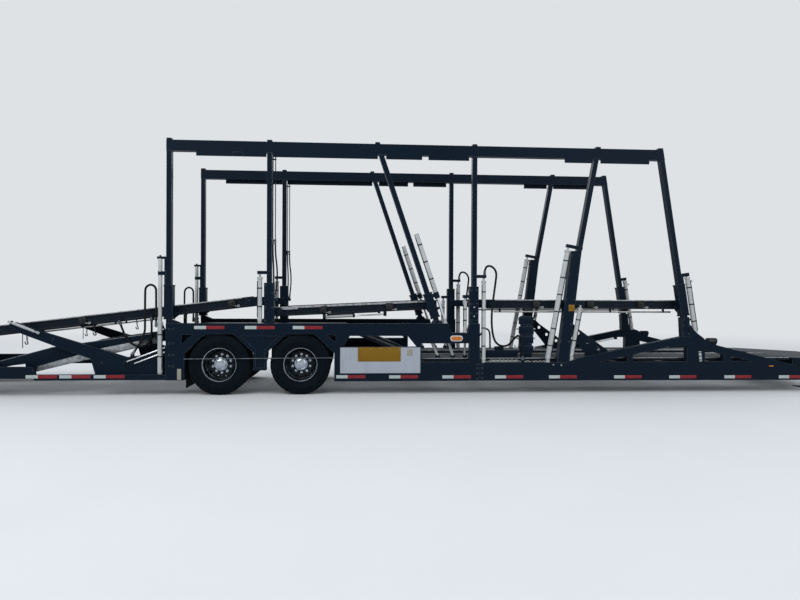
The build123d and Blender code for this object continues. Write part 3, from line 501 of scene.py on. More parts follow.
def tyre_worn_steel(name, coat, steel, dust):
    """Hot-rolled deck steel, painted dark, its top and edges worn back to grey steel by tyres and chains; the
    grey along the edges is also a painted highlight.
    """
    made, tree, shader, where = begin_material(name)
    facing = add_node(tree, "SeparateXYZ", {0: where.node.outputs["Normal"]})
    upward = add_node(
        tree, "MapRange",
        {"Value": facing.outputs["Z"], "From Min": 0.4, "From Max": 0.95, "To Max": 0.19},
    )
    # Scuffs run along the trailer, about 15 mm wide and 300 mm long
    drawn = add_node(tree, "Mapping", {"Vector": where, "Scale": (3.2, 60.0, 60.0)})
    scuffs = add_node(tree, "TexNoise", {"Vector": drawn, "Scale": 1.0, "Detail": 5.0})
    flecks = add_node(tree, "TexNoise", {"Vector": where, "Scale": 1 / 0.04, "Detail": 6.0})
    # Edges: worn grey steel, and a painted highlight along the decks' top edges
    edge = edge_wear_and_highlight(tree, 0.009, 0.36)
    wear_and_highlight = add_node(tree, "Math", {0: upward, 1: edge}, operation="ADD")
    rubbed = add_node(tree, "Math", {0: scuffs, 1: wear_and_highlight}, operation="ADD")
    bare = add_node(tree, "MapRange", {"Value": rubbed, "From Min": 0.72, "From Max": 0.9})
    colour = add_node(tree, "Mix", {0: bare, 6: linear(coat), 7: linear(steel)}, data_type="RGBA")
    film = add_node(
        tree, "MapRange",
        {"Value": flecks, "From Min": 0.45, "From Max": 0.75, "To Min": 0.05, "To Max": 0.55},
    )
    # Dust stays on what faces up, and little of it clings to the sides
    held = add_node(
        tree, "MapRange",
        {"Value": facing.outputs["Z"], "From Min": 0.1, "From Max": 0.8, "To Min": 0.15, "To Max": 1.0},
    )
    lying = add_node(tree, "Math", {0: film, 1: held}, operation="MULTIPLY")
    dusted = add_node(tree, "Mix", {0: lying, 6: colour, 7: linear(dust)}, data_type="RGBA")
    metal = add_node(tree, "MapRange", {"Value": bare, "To Max": 0.6})
    rough = add_node(tree, "MapRange", {"Value": flecks, "To Min": 0.42, "To Max": 0.72})
    bump = add_node(tree, "Bump", {"Height": rubbed, "Strength": 0.3, "Distance": 0.001})
    set_shader(
        tree, shader, Base_Color=dusted, Metallic=metal,
        Roughness=rough, Normal=bump, Specular_IOR_Level=0.1,
    )
    return made


def moulded_tyre_rubber():
    """Tyre rubber, vulcanised in a mould: near black, with pale dust on the tread and the sidewall."""
    made, tree, shader, where = begin_material("moulded_tyre_rubber")
    radius = add_node(tree, "Attribute", attribute_name="axle_distance")
    tread = add_node(tree, "MapRange", {"Value": radius.outputs["Fac"], "From Min": 0.45, "From Max": 0.468})
    mottling = add_node(tree, "TexNoise", {"Vector": where, "Scale": 1 / 0.06, "Detail": 6.0})
    film = add_node(tree, "MapRange", {"Value": mottling, "From Min": 0.35, "From Max": 0.8, "To Max": 0.06})
    most = add_node(tree, "Math", {0: tread, 1: 0.12, 2: film}, operation="MULTIPLY_ADD")
    colour = add_node(tree, "Mix", {0: most, 6: linear("#050d13"), 7: linear("#3c3c39")}, data_type="RGBA")
    # Fine rings left by the mould, 4 mm apart on the sidewall
    rings = add_node(tree, "Math", {0: radius.outputs["Fac"], 1: 2 * pi / 0.004}, operation="MULTIPLY")
    wave = add_node(tree, "Math", {0: rings}, operation="SINE")
    bump = add_node(tree, "Bump", {"Height": wave, "Strength": 0.15, "Distance": 0.0008})
    rough = add_node(tree, "MapRange", {"Value": most, "To Min": 0.62, "To Max": 0.95})
    set_shader(tree, shader, Base_Color=colour, Roughness=rough, Normal=bump, Specular_IOR_Level=0.04)
    return made


def polished_aluminium(name, bright, grime, clean_from):
    """Forged aluminium, turned and polished: rings of fine tool marks, with brake dust and painted shade
    inside the lip.
    """
    made, tree, shader, where = begin_material(name)
    radius = add_node(tree, "Attribute", attribute_name="axle_distance")
    specks = add_node(tree, "TexNoise", {"Vector": where, "Scale": 1 / 0.03, "Detail": 6.0})
    # Inside clean_from the metal darkens to the grime colour: brake dust, and painted shade in the dished
    # disc
    inside = add_node(
        tree, "MapRange",
        {"Value": radius.outputs["Fac"], "From Min": clean_from, "From Max": clean_from - 0.02,
         "To Min": 0.1, "To Max": 1.0},
    )
    dusted_and_shaded = add_node(tree, "Math", {0: inside, 1: specks}, operation="MULTIPLY")
    film = add_node(
        tree, "MapRange",
        {"Value": dusted_and_shaded, "From Min": 0.06, "From Max": 0.36, "To Min": 0.04, "To Max": 1.0},
    )
    colour = add_node(tree, "Mix", {0: film, 6: linear(bright), 7: linear(grime)}, data_type="RGBA")
    rough = add_node(tree, "MapRange", {"Value": film, "To Min": 0.14, "To Max": 0.5})
    turns = add_node(tree, "Math", {0: radius.outputs["Fac"], 1: 2 * pi / 0.0025}, operation="MULTIPLY")
    wave = add_node(tree, "Math", {0: turns}, operation="SINE")
    bump = add_node(tree, "Bump", {"Height": wave, "Strength": 0.06, "Distance": 0.0004})
    set_shader(tree, shader, Base_Color=colour, Metallic=1.0, Roughness=rough, Normal=bump)
    return made


def plated_metal(name, tint, film_colour, roughness, film_amount):
    """Plated steel, dipped or chromed: bright metal under a patchy film of dust, oil or white rust."""
    made, tree, shader, where = begin_material(name)
    cloud = add_node(tree, "TexNoise", {"Vector": where, "Scale": 1 / 0.05, "Detail": 7.0})
    grains = add_node(tree, "TexVoronoi", {"Vector": where, "Scale": 1 / 0.012})
    film = add_node(
        tree, "MapRange",
        {"Value": cloud, "From Min": 0.4, "From Max": 0.75, "To Max": film_amount},
    )
    colour = add_node(tree, "Mix", {0: film, 6: linear(tint), 7: linear(film_colour)}, data_type="RGBA")
    rough = add_node(
        tree, "MapRange",
        {"Value": cloud, "To Min": roughness, "To Max": min(roughness + 0.3, 0.9)},
    )
    bump = add_node(tree, "Bump", {"Height": grains, "Strength": 0.08, "Distance": 0.0005})
    set_shader(tree, shader, Base_Color=colour, Metallic=1.0, Roughness=rough, Normal=bump)
    return made


def prismatic_tape(name, colour_code):
    """Retroreflective vinyl tape: 4 mm cells of moulded prisms under a clear film, drawn at 8 mm to show."""
    made, tree, shader, where = begin_material(name)
    cells = add_node(tree, "TexVoronoi", {"Vector": where, "Scale": 1 / 0.008}, distance="MANHATTAN")
    grime = add_node(tree, "TexNoise", {"Vector": where, "Scale": 1 / 0.06, "Detail": 6.0})
    film = add_node(tree, "MapRange", {"Value": grime, "From Min": 0.4, "From Max": 0.8, "To Max": 0.14})
    between = add_node(tree, "MapRange", {"Value": cells, "To Max": 0.14})
    shade = add_node(
        tree, "Mix", {0: between, 6: linear(colour_code), 7: linear("#3a3532")},
        data_type="RGBA",
    )
    dirty = add_node(tree, "Mix", {0: film, 6: shade, 7: linear("#6c6459")}, data_type="RGBA")
    bump = add_node(tree, "Bump", {"Height": cells, "Strength": 0.2, "Distance": 0.0005})
    set_shader(tree, shader, Base_Color=dirty, Roughness=0.35, Normal=bump, Specular_IOR_Level=0.2)
    return made


def painted_sheet(name, coat, stain):
    """Aluminium sheet with a baked coat: smooth, with grey rain streaks and rubbed patches."""
    made, tree, shader, where = begin_material(name)
    drawn = add_node(tree, "Mapping", {"Vector": where, "Scale": (30.0, 30.0, 1.6)})
    streaks = add_node(tree, "TexNoise", {"Vector": drawn, "Scale": 1.0, "Detail": 5.0})
    cloud = add_node(tree, "TexNoise", {"Vector": where, "Scale": 1 / 0.25, "Detail": 5.0})
    both = add_node(tree, "Math", {0: streaks, 1: cloud}, operation="MULTIPLY")
    film = add_node(tree, "MapRange", {"Value": both, "From Min": 0.22, "From Max": 0.42, "To Max": 0.4})
    colour = add_node(tree, "Mix", {0: film, 6: linear(coat), 7: linear(stain)}, data_type="RGBA")
    rough = add_node(tree, "MapRange", {"Value": film, "To Min": 0.3, "To Max": 0.65})
    ripple = add_node(tree, "TexNoise", {"Vector": where, "Scale": 1 / 0.15, "Detail": 1.0})
    bump = add_node(tree, "Bump", {"Height": ripple, "Strength": 0.2, "Distance": 0.002})
    set_shader(tree, shader, Base_Color=colour, Roughness=rough, Normal=bump, Specular_IOR_Level=0.15)
    return made


def moulded_lens(name, colour_code, glow):
    """Acrylic lamp lens, moulded with fine ribs 6 mm apart: deep colour with a clear, glossy skin."""
    made, tree, shader, where = begin_material(name)
    ribs = add_node(tree, "TexWave", {"Vector": where, "Scale": 1 / 0.038})
    cloud = add_node(tree, "TexNoise", {"Vector": where, "Scale": 1 / 0.03})
    colour = add_node(tree, "Mix", {0: cloud, 6: linear(colour_code), 7: linear(glow)}, data_type="RGBA")
    bump = add_node(tree, "Bump", {"Height": ribs.outputs["Fac"], "Strength": 0.4, "Distance": 0.001})
    set_shader(
        tree, shader, Base_Color=colour, Roughness=0.12, Normal=bump,
        Transmission_Weight=0.25, IOR=1.49,
    )
    return made


def extruded_rubber(name, colour_code, dust):
    """Hose and flap rubber, extruded: matt black with a grey bloom and fine pores."""
    made, tree, shader, where = begin_material(name)
    bloom = add_node(tree, "TexNoise", {"Vector": where, "Scale": 1 / 0.04, "Detail": 5.0})
    film = add_node(tree, "MapRange", {"Value": bloom, "From Min": 0.4, "From Max": 0.8, "To Max": 0.35})
    colour = add_node(tree, "Mix", {0: film, 6: linear(colour_code), 7: linear(dust)}, data_type="RGBA")
    rough = add_node(tree, "MapRange", {"Value": bloom, "To Min": 0.5, "To Max": 0.85})
    pores = add_node(tree, "TexNoise", {"Vector": where, "Scale": 1 / 0.004})
    bump = add_node(tree, "Bump", {"Height": pores, "Strength": 0.15, "Distance": 0.0004})
    set_shader(tree, shader, Base_Color=colour, Roughness=rough, Normal=bump, Specular_IOR_Level=0.15)
    return made


def pale_ground(backdrop):
    """Pale concrete, trowelled: nearly even, with soft clouds a metre across. It fades into the backdrop."""
    made, tree, shader, where = begin_material("pale_ground")
    cloud = add_node(tree, "TexNoise", {"Vector": where, "Scale": 0.9, "Detail": 5.0})
    colour = add_node(tree, "Mix", {0: cloud, 6: linear("#cfd2d4"), 7: linear("#d5d7d9")}, data_type="RGBA")
    rough = add_node(tree, "MapRange", {"Value": cloud, "To Min": 0.8, "To Max": 0.95})
    set_shader(tree, shader, Base_Color=colour, Roughness=rough, Specular_IOR_Level=0.1)
    away = add_node(tree, "VectorMath", {0: where}, operation="LENGTH")
    fade = add_node(
        tree, "MapRange", {"Value": away, "From Min": 8.0, "From Max": 24.0},
        interpolation_type="SMOOTHSTEP",
    )
    share = add_node(tree, "Math", {0: fade, 1: seen_directly(tree)}, operation="MULTIPLY")
    plain = add_node(tree, "Emission", {"Color": linear(backdrop), "Strength": 1.0})
    both = add_node(tree, "MixShader", {0: share, 1: shader, 2: plain})
    feed(tree, tree.nodes["Material Output"].inputs["Surface"], both)
    return made


finishes = (
    sprayed_enamel(
        "chassis_enamel", "#0a1a28", "#08131f", "#4c565c", "#2c3236", 0.42,
        dusting=0.1, chipping=0.42, gloss=0.06,
    ),
    sprayed_enamel(
        "cylinder_enamel", "#b3b6b6", "#94989a", "#5b5047", "#7a7268", 0.34,
        dusting=0.35, chipping=0.4, gloss=0.5,
    ),
    tyre_worn_steel("deck_steel", "#0b1520", "#4d5356", "#22262a"),
    # Near black: painted shade for the floors of the planks' holes
    extruded_rubber("shadowed_steel", "#050607", "#0c0d0e"),
    # Galvanised steel; on the decks' and the ramp's top edges it is also a painted highlight
    plated_metal("galvanised_and_highlight_edge", "#a6aaad", "#63636a", 0.36, 0.85),
    plated_metal("hard_chrome", "#dfe3e6", "#7a7771", 0.1, 0.3),
    plated_metal("zinc_plate", "#b4b7b5", "#8c8a80", 0.32, 0.6),
    plated_metal("worn_steel", "#3a3b3d", "#26221e", 0.5, 0.85),
    moulded_tyre_rubber(),
    # The wheels' dark film inside the lip is brake dust and painted shade
    polished_aluminium("wheel_aluminium", "#c3c8cd", "#24292c", 0.248),
    polished_aluminium("hub_chrome", "#a8b1bc", "#6a7178", 0.0),
    # The white and yellow coats are darker than the real ones: painted shade
    painted_sheet("shaded_white_sheet", "#989fa9", "#828890"),
    painted_sheet("shaded_yellow_sheet", "#765810", "#594615"),
    painted_sheet("pale_label", "#8c8a80", "#6c6a61"),
    prismatic_tape("white_tape", "#a9b4b4"),
    prismatic_tape("red_tape", "#7d1220"),
    plated_metal("nut_steel", "#6a7176", "#2b2f32", 0.34, 0.85),
    moulded_lens("dark_lens", "#15181b", "#24282c"),
    moulded_lens("amber_lens", "#b34c05", "#e08a1c"),
    moulded_lens("red_lens", "#7a0d0d", "#b3201c"),
    moulded_lens("clear_lens", "#c9cdd0", "#e6e9ea"),
    extruded_rubber("hose_rubber", "#07090b", "#26282a"),
    pale_ground(BACKDROP),
)
# Blender puts a dot and a number behind a name that one of the frame's own materials has
FINISHES = {finish.name.partition(".")[0]: finish for finish in finishes}

# The frame's own nodes that aren't in chassis enamel
NODE_FINISH = {
    "deck_steel": (
        "deck_rear", "deck_middle", "deck_front", "rear_ramp", "axle_deck", "slope_deck", "well_deck",
    ),
    "cylinder_enamel": ("lift_base_rear", "lift_base_middle", "lift_base_front", "closed_cylinders"),
    "hose_rubber": ("hydraulic_hoses", "mud_flaps"),
    "worn_steel": ("kingpin",),
    "shaded_white_sheet": ("side_panels",),
    "amber_lens": ("marker_lamps",),
}


# Sizes and colours

class TrailerSizes(bpy.types.PropertyGroup):
    """Sizes and colours of the fittings that a user would change."""

    tape_height: bpy.props.FloatProperty(
        name="Tape height", description="Height of the reflective strips", unit="LENGTH",
        default=0.05, min=0.02,
    )
    white_length: bpy.props.FloatProperty(
        name="White length", description="Length of a strip's white part", default=0.178, unit="LENGTH"
    )
    red_length: bpy.props.FloatProperty(
        name="Red length", description="Length of a strip's red part", default=0.279, unit="LENGTH"
    )
    tread_depth: bpy.props.FloatProperty(
        name="Tread depth", description="Depth of the tyre's grooves", default=0.012, unit="LENGTH"
    )
    nut_circle: bpy.props.FloatProperty(
        name="Nut circle", description="Diameter of the circle of wheel nuts", default=0.28575, unit="LENGTH"
    )
    nut_count: bpy.props.IntProperty(name="Wheel nuts", description="Nuts on each wheel", default=10, min=4)
    hole_pitch: bpy.props.FloatProperty(
        name="Hole pitch", description="Distance between the holes of the deck planks", unit="LENGTH",
        default=0.08,
    )
    hole_radius: bpy.props.FloatProperty(
        name="Hole radius", description="Radius of the holes of the deck planks", default=0.026, unit="LENGTH"
    )
    floor_colour: bpy.props.FloatVectorProperty(
        name="Background", description="Colour behind the trailer", subtype="COLOR", size=4,
        default=linear(BACKDROP), min=0.0, max=1.0,
    )


def sizes():
    """The sizes and colours that are set now."""
    return bpy.context.scene.trailer_sizes


# Pieces

class TRAILER_OT_stage(bpy.types.Operator):
    """Adds the floor, the soft studio light and the camera"""

    bl_idname = "trailer.stage"
    bl_label = "Stage"

    def execute(self, context):
        scene = context.scene
        scene.view_settings.view_transform = "Standard"
        deselect()
        bpy.ops.mesh.primitive_plane_add(size=160, location=(0, 0, 0))
        floor = dress(bpy.context.object, "pale_ground")
        floor.name = "floor"

        world = scene.world or bpy.data.worlds.new("world")
        scene.world = world
        world.use_nodes = True
        tree = world.node_tree
        tree.nodes.clear()
        backdrop = add_node(tree, "Background", {"Color": list(sizes().floor_colour), "Strength": 1.0})
        soft = add_node(tree, "Background", {"Color": linear("#eef2f8"), "Strength": 0.85})
        chosen = add_node(tree, "MixShader", {0: seen_directly(tree), 1: soft, 2: backdrop})
        add_node(tree, "OutputWorld", {"Surface": chosen})

        for name, place, aim, size, power in (
            ("key_light", (-9, -12, 12), (0, 0, 1.2), 11.0, 1190.0),
            ("fill_light", (9, -11, 7), (1, 0, 1.0), 9.0, 385.0),
            ("rim_light", (-3, 13, 10), (0, 0, 1.5), 10.0, 640.0),
        ):
            bpy.ops.object.light_add(type="AREA", location=place)
            lamp = bpy.context.object
            lamp.name = name
            lamp.data.size = size
            lamp.data.energy = power
            lamp.rotation_euler = (Vector(aim) - Vector(place)).to_track_quat("-Z", "Y").to_euler()

        # The photograph's camera: 11.9 m from the trailer's middle, at eye height, square to its side
        bpy.ops.object.camera_add(
            location=(-0.85, -11.904, 1.492), rotation=(radians(89.94), radians(-0.225), radians(-4.343))
        )
        camera = bpy.context.object
        camera.name = "photo_camera"
        camera.data.sensor_fit = "HORIZONTAL"
        camera.data.sensor_width = 36.0
        camera.data.lens = 30.45
        scene.camera = camera
        return {"FINISHED"}


class TRAILER_OT_finishes(bpy.types.Operator):
    """Gives the frame's own nodes their paint, steel and chrome"""

    bl_idname = "trailer.finishes"
    bl_label = "Finishes"

    def execute(self, context):
        finish_of = {node: finish for finish, nodes in NODE_FINISH.items() for node in nodes}
        for name, node in frame["nodes"].items():
            material = FINISHES[finish_of.get(name, "chassis_enamel")]
            if not node.material_slots:
                node.data.materials.append(material)
            for held in node.material_slots:
                held.material = material
        return {"FINISHED"}


class TRAILER_OT_tyres(bpy.types.Operator):
    """Adds the dual tyres, with ribbed treads and rings on their sidewalls"""

    bl_idname = "trailer.tyres"
    bl_label = "Tyres"

    def execute(self, context):
        depth = sizes().tread_depth
        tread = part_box("tyres_rear_right")
        radius = (tread[1][2] - tread[0][2]) / 2
        steps = 120
        step = 2 * pi / steps
        # Half of a section, from the bead over the sidewall's rings to the shoulder
        half = [
            (0.101, 0.2603), (0.1045, 0.276), (0.114, 0.297), (0.1215, 0.327), (0.1255, 0.35),
            (0.1275, 0.355), (0.1275, 0.372), (0.1258, 0.376), (0.1225, 0.408), (0.1168, 0.434),
            (0.109, 0.452), (0.1, 0.4635), (0.092, radius - 0.001),
        ]
        grooves = []
        for middle in (0.066, 0.022, -0.022, -0.066):
            grooves += [
                (middle + 0.0055, radius), (middle + 0.0035, radius - depth),
                (middle - 0.0035, radius - depth), (middle - 0.0055, radius),
            ]
        section = half + grooves + [(-y, r) for y, r in reversed(half)]
        for body in AXLE_BODIES:
            centre = Vector((PIVOTS[body].x, 0, PIVOTS[body].z))
            side = 1 if PIVOTS[body].y > 0 else -1
            made = []
            for offset in (1.165, 0.851):
                middle = side * offset
                tyre = turned([(middle + y, r) for y, r in section], centre, steps)

                def notched(place, normal):
                    spoke = Vector((place.x - centre.x, place.z - centre.z))
                    turn = round((spoke.angle_signed(Vector((0, 1))) + pi) / step - 0.5)
                    return spoke.length > radius - 0.004 and abs(place.y - middle) > 0.074 and turn % 3 == 0

                # Every third step of the shoulder ribs is cut 7 mm deep across its outer edge
                only(tyre)
                bpy.ops.object.mode_set(mode="EDIT")
                choose(notched)
                bpy.ops.mesh.extrude_region_shrink_fatten(TRANSFORM_OT_shrink_fatten={"value": -0.007})
                bpy.ops.object.mode_set(mode="OBJECT")
                made.append(mark_radius(tyre, centre))
            tyres = dress(made, "moulded_tyre_rubber")
            finish_piece(tyres, f"tread_{body}", body, smooth=40)
            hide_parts(body.replace("wheel", "tyres"))
        return {"FINISHED"}


class TRAILER_OT_wheels(bpy.types.Operator):
    """Adds the polished wheels, with hand holes, nuts and chromed hub covers"""

    bl_idname = "trailer.wheels"
    bl_label = "Wheels"

    def execute(self, context):
        # Sections in metres from the trailer's middle and from the axle's line
        face = 1.008
        outer = [
            (1.279, 0.2585), (1.2785, 0.2608), (1.276, 0.262), (1.27, 0.262), (1.2675, 0.2612),
            (1.267, 0.2595), (1.063, 0.2595), (1.063, 0.265), (1.051, 0.265), (1.051, 0.242),
            (face, 0.2), (face, 0.06), (1.031, 0.06), (1.031, 0.175), (1.036, 0.19),
            (1.046, 0.203), (1.062, 0.221), (1.075, 0.234), (1.084, 0.2415), (1.095, 0.246),
            (1.11, 0.248), (1.2, 0.2485), (1.262, 0.2495), (1.272, 0.253), (1.278, 0.2575),
        ]
        inner = [(2 * face - y, r) for y, r in outer]
        end = face + 0.05
        drum = [(0.72, 0.046), (end, 0.046), (end, 0.112), (0.986, 0.112), (0.986, 0.2), (0.72, 0.2)]
        cover = [
            (1.031, 0.0), (1.031, 0.113), (1.05, 0.113), (1.052, 0.11), (1.118, 0.106), (1.13, 0.1),
            (1.134, 0.086), (1.152, 0.08), (1.162, 0.064), (1.165, 0.04), (1.165, 0.0),
        ]
        count, nut_at = sizes().nut_count, sizes().nut_circle / 2
        hole_at = 0.206
        for body in AXLE_BODIES:
            centre = Vector((PIVOTS[body].x, 0, PIVOTS[body].z))
            side = 1 if PIVOTS[body].y > 0 else -1

            def spun(ring, steps):
                return turned([(side * y, r) for y, r in ring], centre, steps)

            rims = join([spun(outer, 96), spun(inner, 96)])
            # Hand holes, 36 mm across, halfway between the nuts
            holes = []
            for i in range(count):
                turn = 2 * pi * (i + 0.5) / count
                x, z = centre.x + hole_at * sin(turn), centre.z + hole_at * cos(turn)
                holes.append(bar((x, side * 0.92, z), (x, side * 1.09, z), 0.018, sides=20))
            cutter = join(holes)
            modify(rims, "BOOLEAN", operation="DIFFERENCE", object=cutter, solver="EXACT")
            bpy.data.objects.remove(cutter)
            dress(mark_radius(rims, centre), "wheel_aluminium")

            shell = dress(mark_radius(spun(cover, 64), centre), "hub_chrome")
            brake = dress(spun(drum, 48), "worn_steel")

            # One nut on its stud and washer, 33 mm across its flats, copied round the circle
            start = Vector((centre.x, side * 1.0305, centre.z + nut_at))
            fixed = [
                bar(start, start + Vector((0, side * reach, 0)), radius, sides=corners, cap=cap)
                for reach, radius, corners, cap in (
                    (0.03, 0.019, 6, 0.0025), (0.044, 0.01, 12, 0.002), (0.005, 0.021, 20, 0.001)
                )
            ]
            about = Matrix.Translation(centre)
            turns = [Matrix.Rotation(2 * pi * i / count, 4, "Y") for i in range(count)]
            nuts = copies(join(fixed), [about @ turn @ about.inverted() for turn in turns])
            dress(mark_radius(nuts, centre), "hub_chrome")
            wheel = join([rims, shell, brake, nuts])
            finish_piece(wheel, f"rims_{body}", body, smooth=32)
            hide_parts(body.replace("wheel", "wheel_discs"))
        return {"FINISHED"}


class TRAILER_OT_tapes(bpy.types.Operator):
    """Adds the red and white reflective strips along the sides and across the rear"""

    bl_idname = "trailer.tapes"
    bl_label = "Reflective strips"

    def execute(self, context):
        white, red, height = sizes().white_length, sizes().red_length, sizes().tape_height
        # Where each strip begins, and its height: along the rails, then along the beams over the wheels
        strips = (
            (-5.706, 0.298), (-5.215, 0.297), (-4.71, 0.295), (-1.039, 0.277), (-0.211, 0.272),
            (0.632, 0.268), (1.475, 0.264), (2.35, 0.26), (3.42, 0.255), (4.339, 0.251), (5.27, 0.247),
            (6.2, 0.243), (-3.215, 1.046), (-2.448, 1.046), (-1.713, 1.046),
        )
        made = []
        for x, z in strips:
            for start, length, finish in ((x, white, "white_tape"), (x + white, red, "red_tape")):
                place = (start + length / 2, -SIDE_FACE_Y - TAPE_THICKNESS / 2, z)
                made.append(dress(block((length, TAPE_THICKNESS, height), place, 0.0004), finish))
        sides = both_sides(join(made))
        # Across the rear: three pairs between the tail lamps, and four along the guard under them
        across = []
        pitch = white + red + 0.03
        for z, count in ((0.38, 3), (0.24, 4)):
            for i in range(count):
                y = -count * pitch / 2 + i * pitch
                for start, length, finish in ((y, white, "white_tape"), (y + white, red, "red_tape")):
                    place = (REAR_FACE_X - TAPE_THICKNESS / 2, start + length / 2, z)
                    across.append(dress(block((TAPE_THICKNESS, length, height), place, 0.0004), finish))
        finish_piece(join([sides, join(across)]), "reflective_strips", "frame")
        return {"FINISHED"}


class TRAILER_OT_panels(bpy.types.Operator):
    """Adds the yellow field, the pale label and the rivets of the white side panels"""

    bl_idname = "trailer.panels"
    bl_label = "Side panels"

    def execute(self, context):
        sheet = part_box("side_panels")
        face = -sheet[0][1]
        field = block((0.673, 0.0016, 0.225), (-0.3655, -face - 0.0008, 0.6265), 0.0006)
        label = block((0.092, 0.0012, 0.105), (0.116, -face - 0.0006, 0.656), 0.0004)
        rivet = bar((0, -face + 0.001, 0), (0, -face - 0.003, 0), 0.006, sides=12, cap=0.002)
        spots = []
        left, right = sheet[0][0] + 0.025, sheet[1][0] - 0.025
        low, high = sheet[0][2] + 0.022, sheet[1][2] - 0.02
        for i in range(9):
            x = left + i * (right - left) / 8
            spots += [(x, 0, low), (x, 0, high)]
        for z in (low + (high - low) / 3, low + 2 * (high - low) / 3):
            spots += [(left, 0, z), (right, 0, z)]
        rivets = dress(copies(rivet, spots), "zinc_plate")
        made = [dress(field, "shaded_yellow_sheet"), dress(label, "pale_label"), rivets]
        finish_pair(made, "panel_fields", "frame")
        return {"FINISHED"}


class TRAILER_OT_lamps(bpy.types.Operator):
    """Adds the marker lamps' and tail lamps' lenses and bezels"""

    bl_idname = "trailer.lamps"
    bl_label = "Lamps"

    def execute(self, context):
        made = []
        for x, z, length, height, ring_finish, lens_finish in (
            (0.855, 0.876, 0.2, 0.092, "clear_lens", "amber_lens"),
            (5.061, 0.838, 0.15, 0.062, "hose_rubber", "dark_lens"),
            (6.06, 0.422, 0.092, 0.032, "hose_rubber", "amber_lens"),
        ):
            outline, inset = [], []
            for ring, border in ((outline, 0.0), (inset, min(0.014, height * 0.2))):
                radius = height / 2 - border
                for end, start in ((1, -pi / 2), (-1, pi / 2)):
                    middle = x + end * (length - height) / 2
                    for i in range(13):
                        turn = start + i * pi / 12
                        ring.append((middle + radius * cos(turn), z + radius * sin(turn)))
            bezel = dress(plate(outline, SIDE_FACE_Y, SIDE_FACE_Y + 0.011, 0.003), ring_finish)
            lens = dress(plate(inset, SIDE_FACE_Y + 0.005, SIDE_FACE_Y + 0.0165, 0.004), lens_finish)
            made += [bezel, lens]
        # Tail lamps in the bumper, 104 mm across, each with a rubber ring
        for y, finish in ((-0.89, "clear_lens"), (-1.03, "red_lens"), (-1.17, "red_lens")):
            ring = bar((REAR_FACE_X, y, 0.38), (REAR_FACE_X - 0.009, y, 0.38), 0.052, sides=32, cap=0.003)
            lens = bar((REAR_FACE_X, y, 0.38), (REAR_FACE_X - 0.0138, y, 0.38), 0.043, sides=32, cap=0.005)
            made += [dress(ring, "hose_rubber"), dress(lens, finish)]
        lamps = both_sides(join(made))
        finish_piece(lamps, "marker_lamp_lenses", "frame", smooth=50)
        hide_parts("marker_lamps")
        return {"FINISHED"}


class TRAILER_OT_planks(bpy.types.Operator):
    """Adds the punched planks of the decks, the ramp and the lower floor"""

    bl_idname = "trailer.planks"
    bl_label = "Deck planks"

    def execute(self, context):
        pitch, radius = sizes().hole_pitch, sizes().hole_radius
        # Body, start and length along the deck, inner edge, width, height of the runner over the pivot
        for body, start, length, inner, width, height in (
            ("deck_rear", -5.118, 5.176, 0.447, 0.577, 0.041),
            ("deck_middle", -0.048, 2.566, 0.447, 0.577, 0.041),
            ("deck_front", -0.053, 3.301, 0.447, 0.577, 0.041),
            ("rear_ramp", -3.636, 3.574, 0.447, 0.587, 0.015),
        ):
            plank = punched_plank(start, length, inner, width, pitch, radius)
            plank.data.transform(along_deck(body) @ Matrix.Translation((0, 0, height + PLANK_LIFT)))
            finish_pair(plank, f"planks_{body}", body, smooth=30)
        floors = []
        # The lower floor: x and z of each stretch's back and front ends
        for (x0, z0), (x1, z1) in (
            ((-3.558, 1.04), (-0.902, 1.04)),
            ((-0.89, 1.036), (0.29, 0.5586)),
            ((0.302, 0.555), (6.478, 0.555)),
        ):
            plank = punched_plank(0.0, hypot(x1 - x0, z1 - z0), 0.432, 0.684, pitch, radius)
            place = Matrix.Translation((x0, 0, z0)) @ Matrix.Rotation(-atan((z1 - z0) / (x1 - x0)), 4, "Y")
            plank.data.transform(place @ Matrix.Translation((0, 0, PLANK_LIFT)))
            floors.append(plank)
        finish_pair(floors, "planks_lower_floor", "frame", smooth=30)
        return {"FINISHED"}


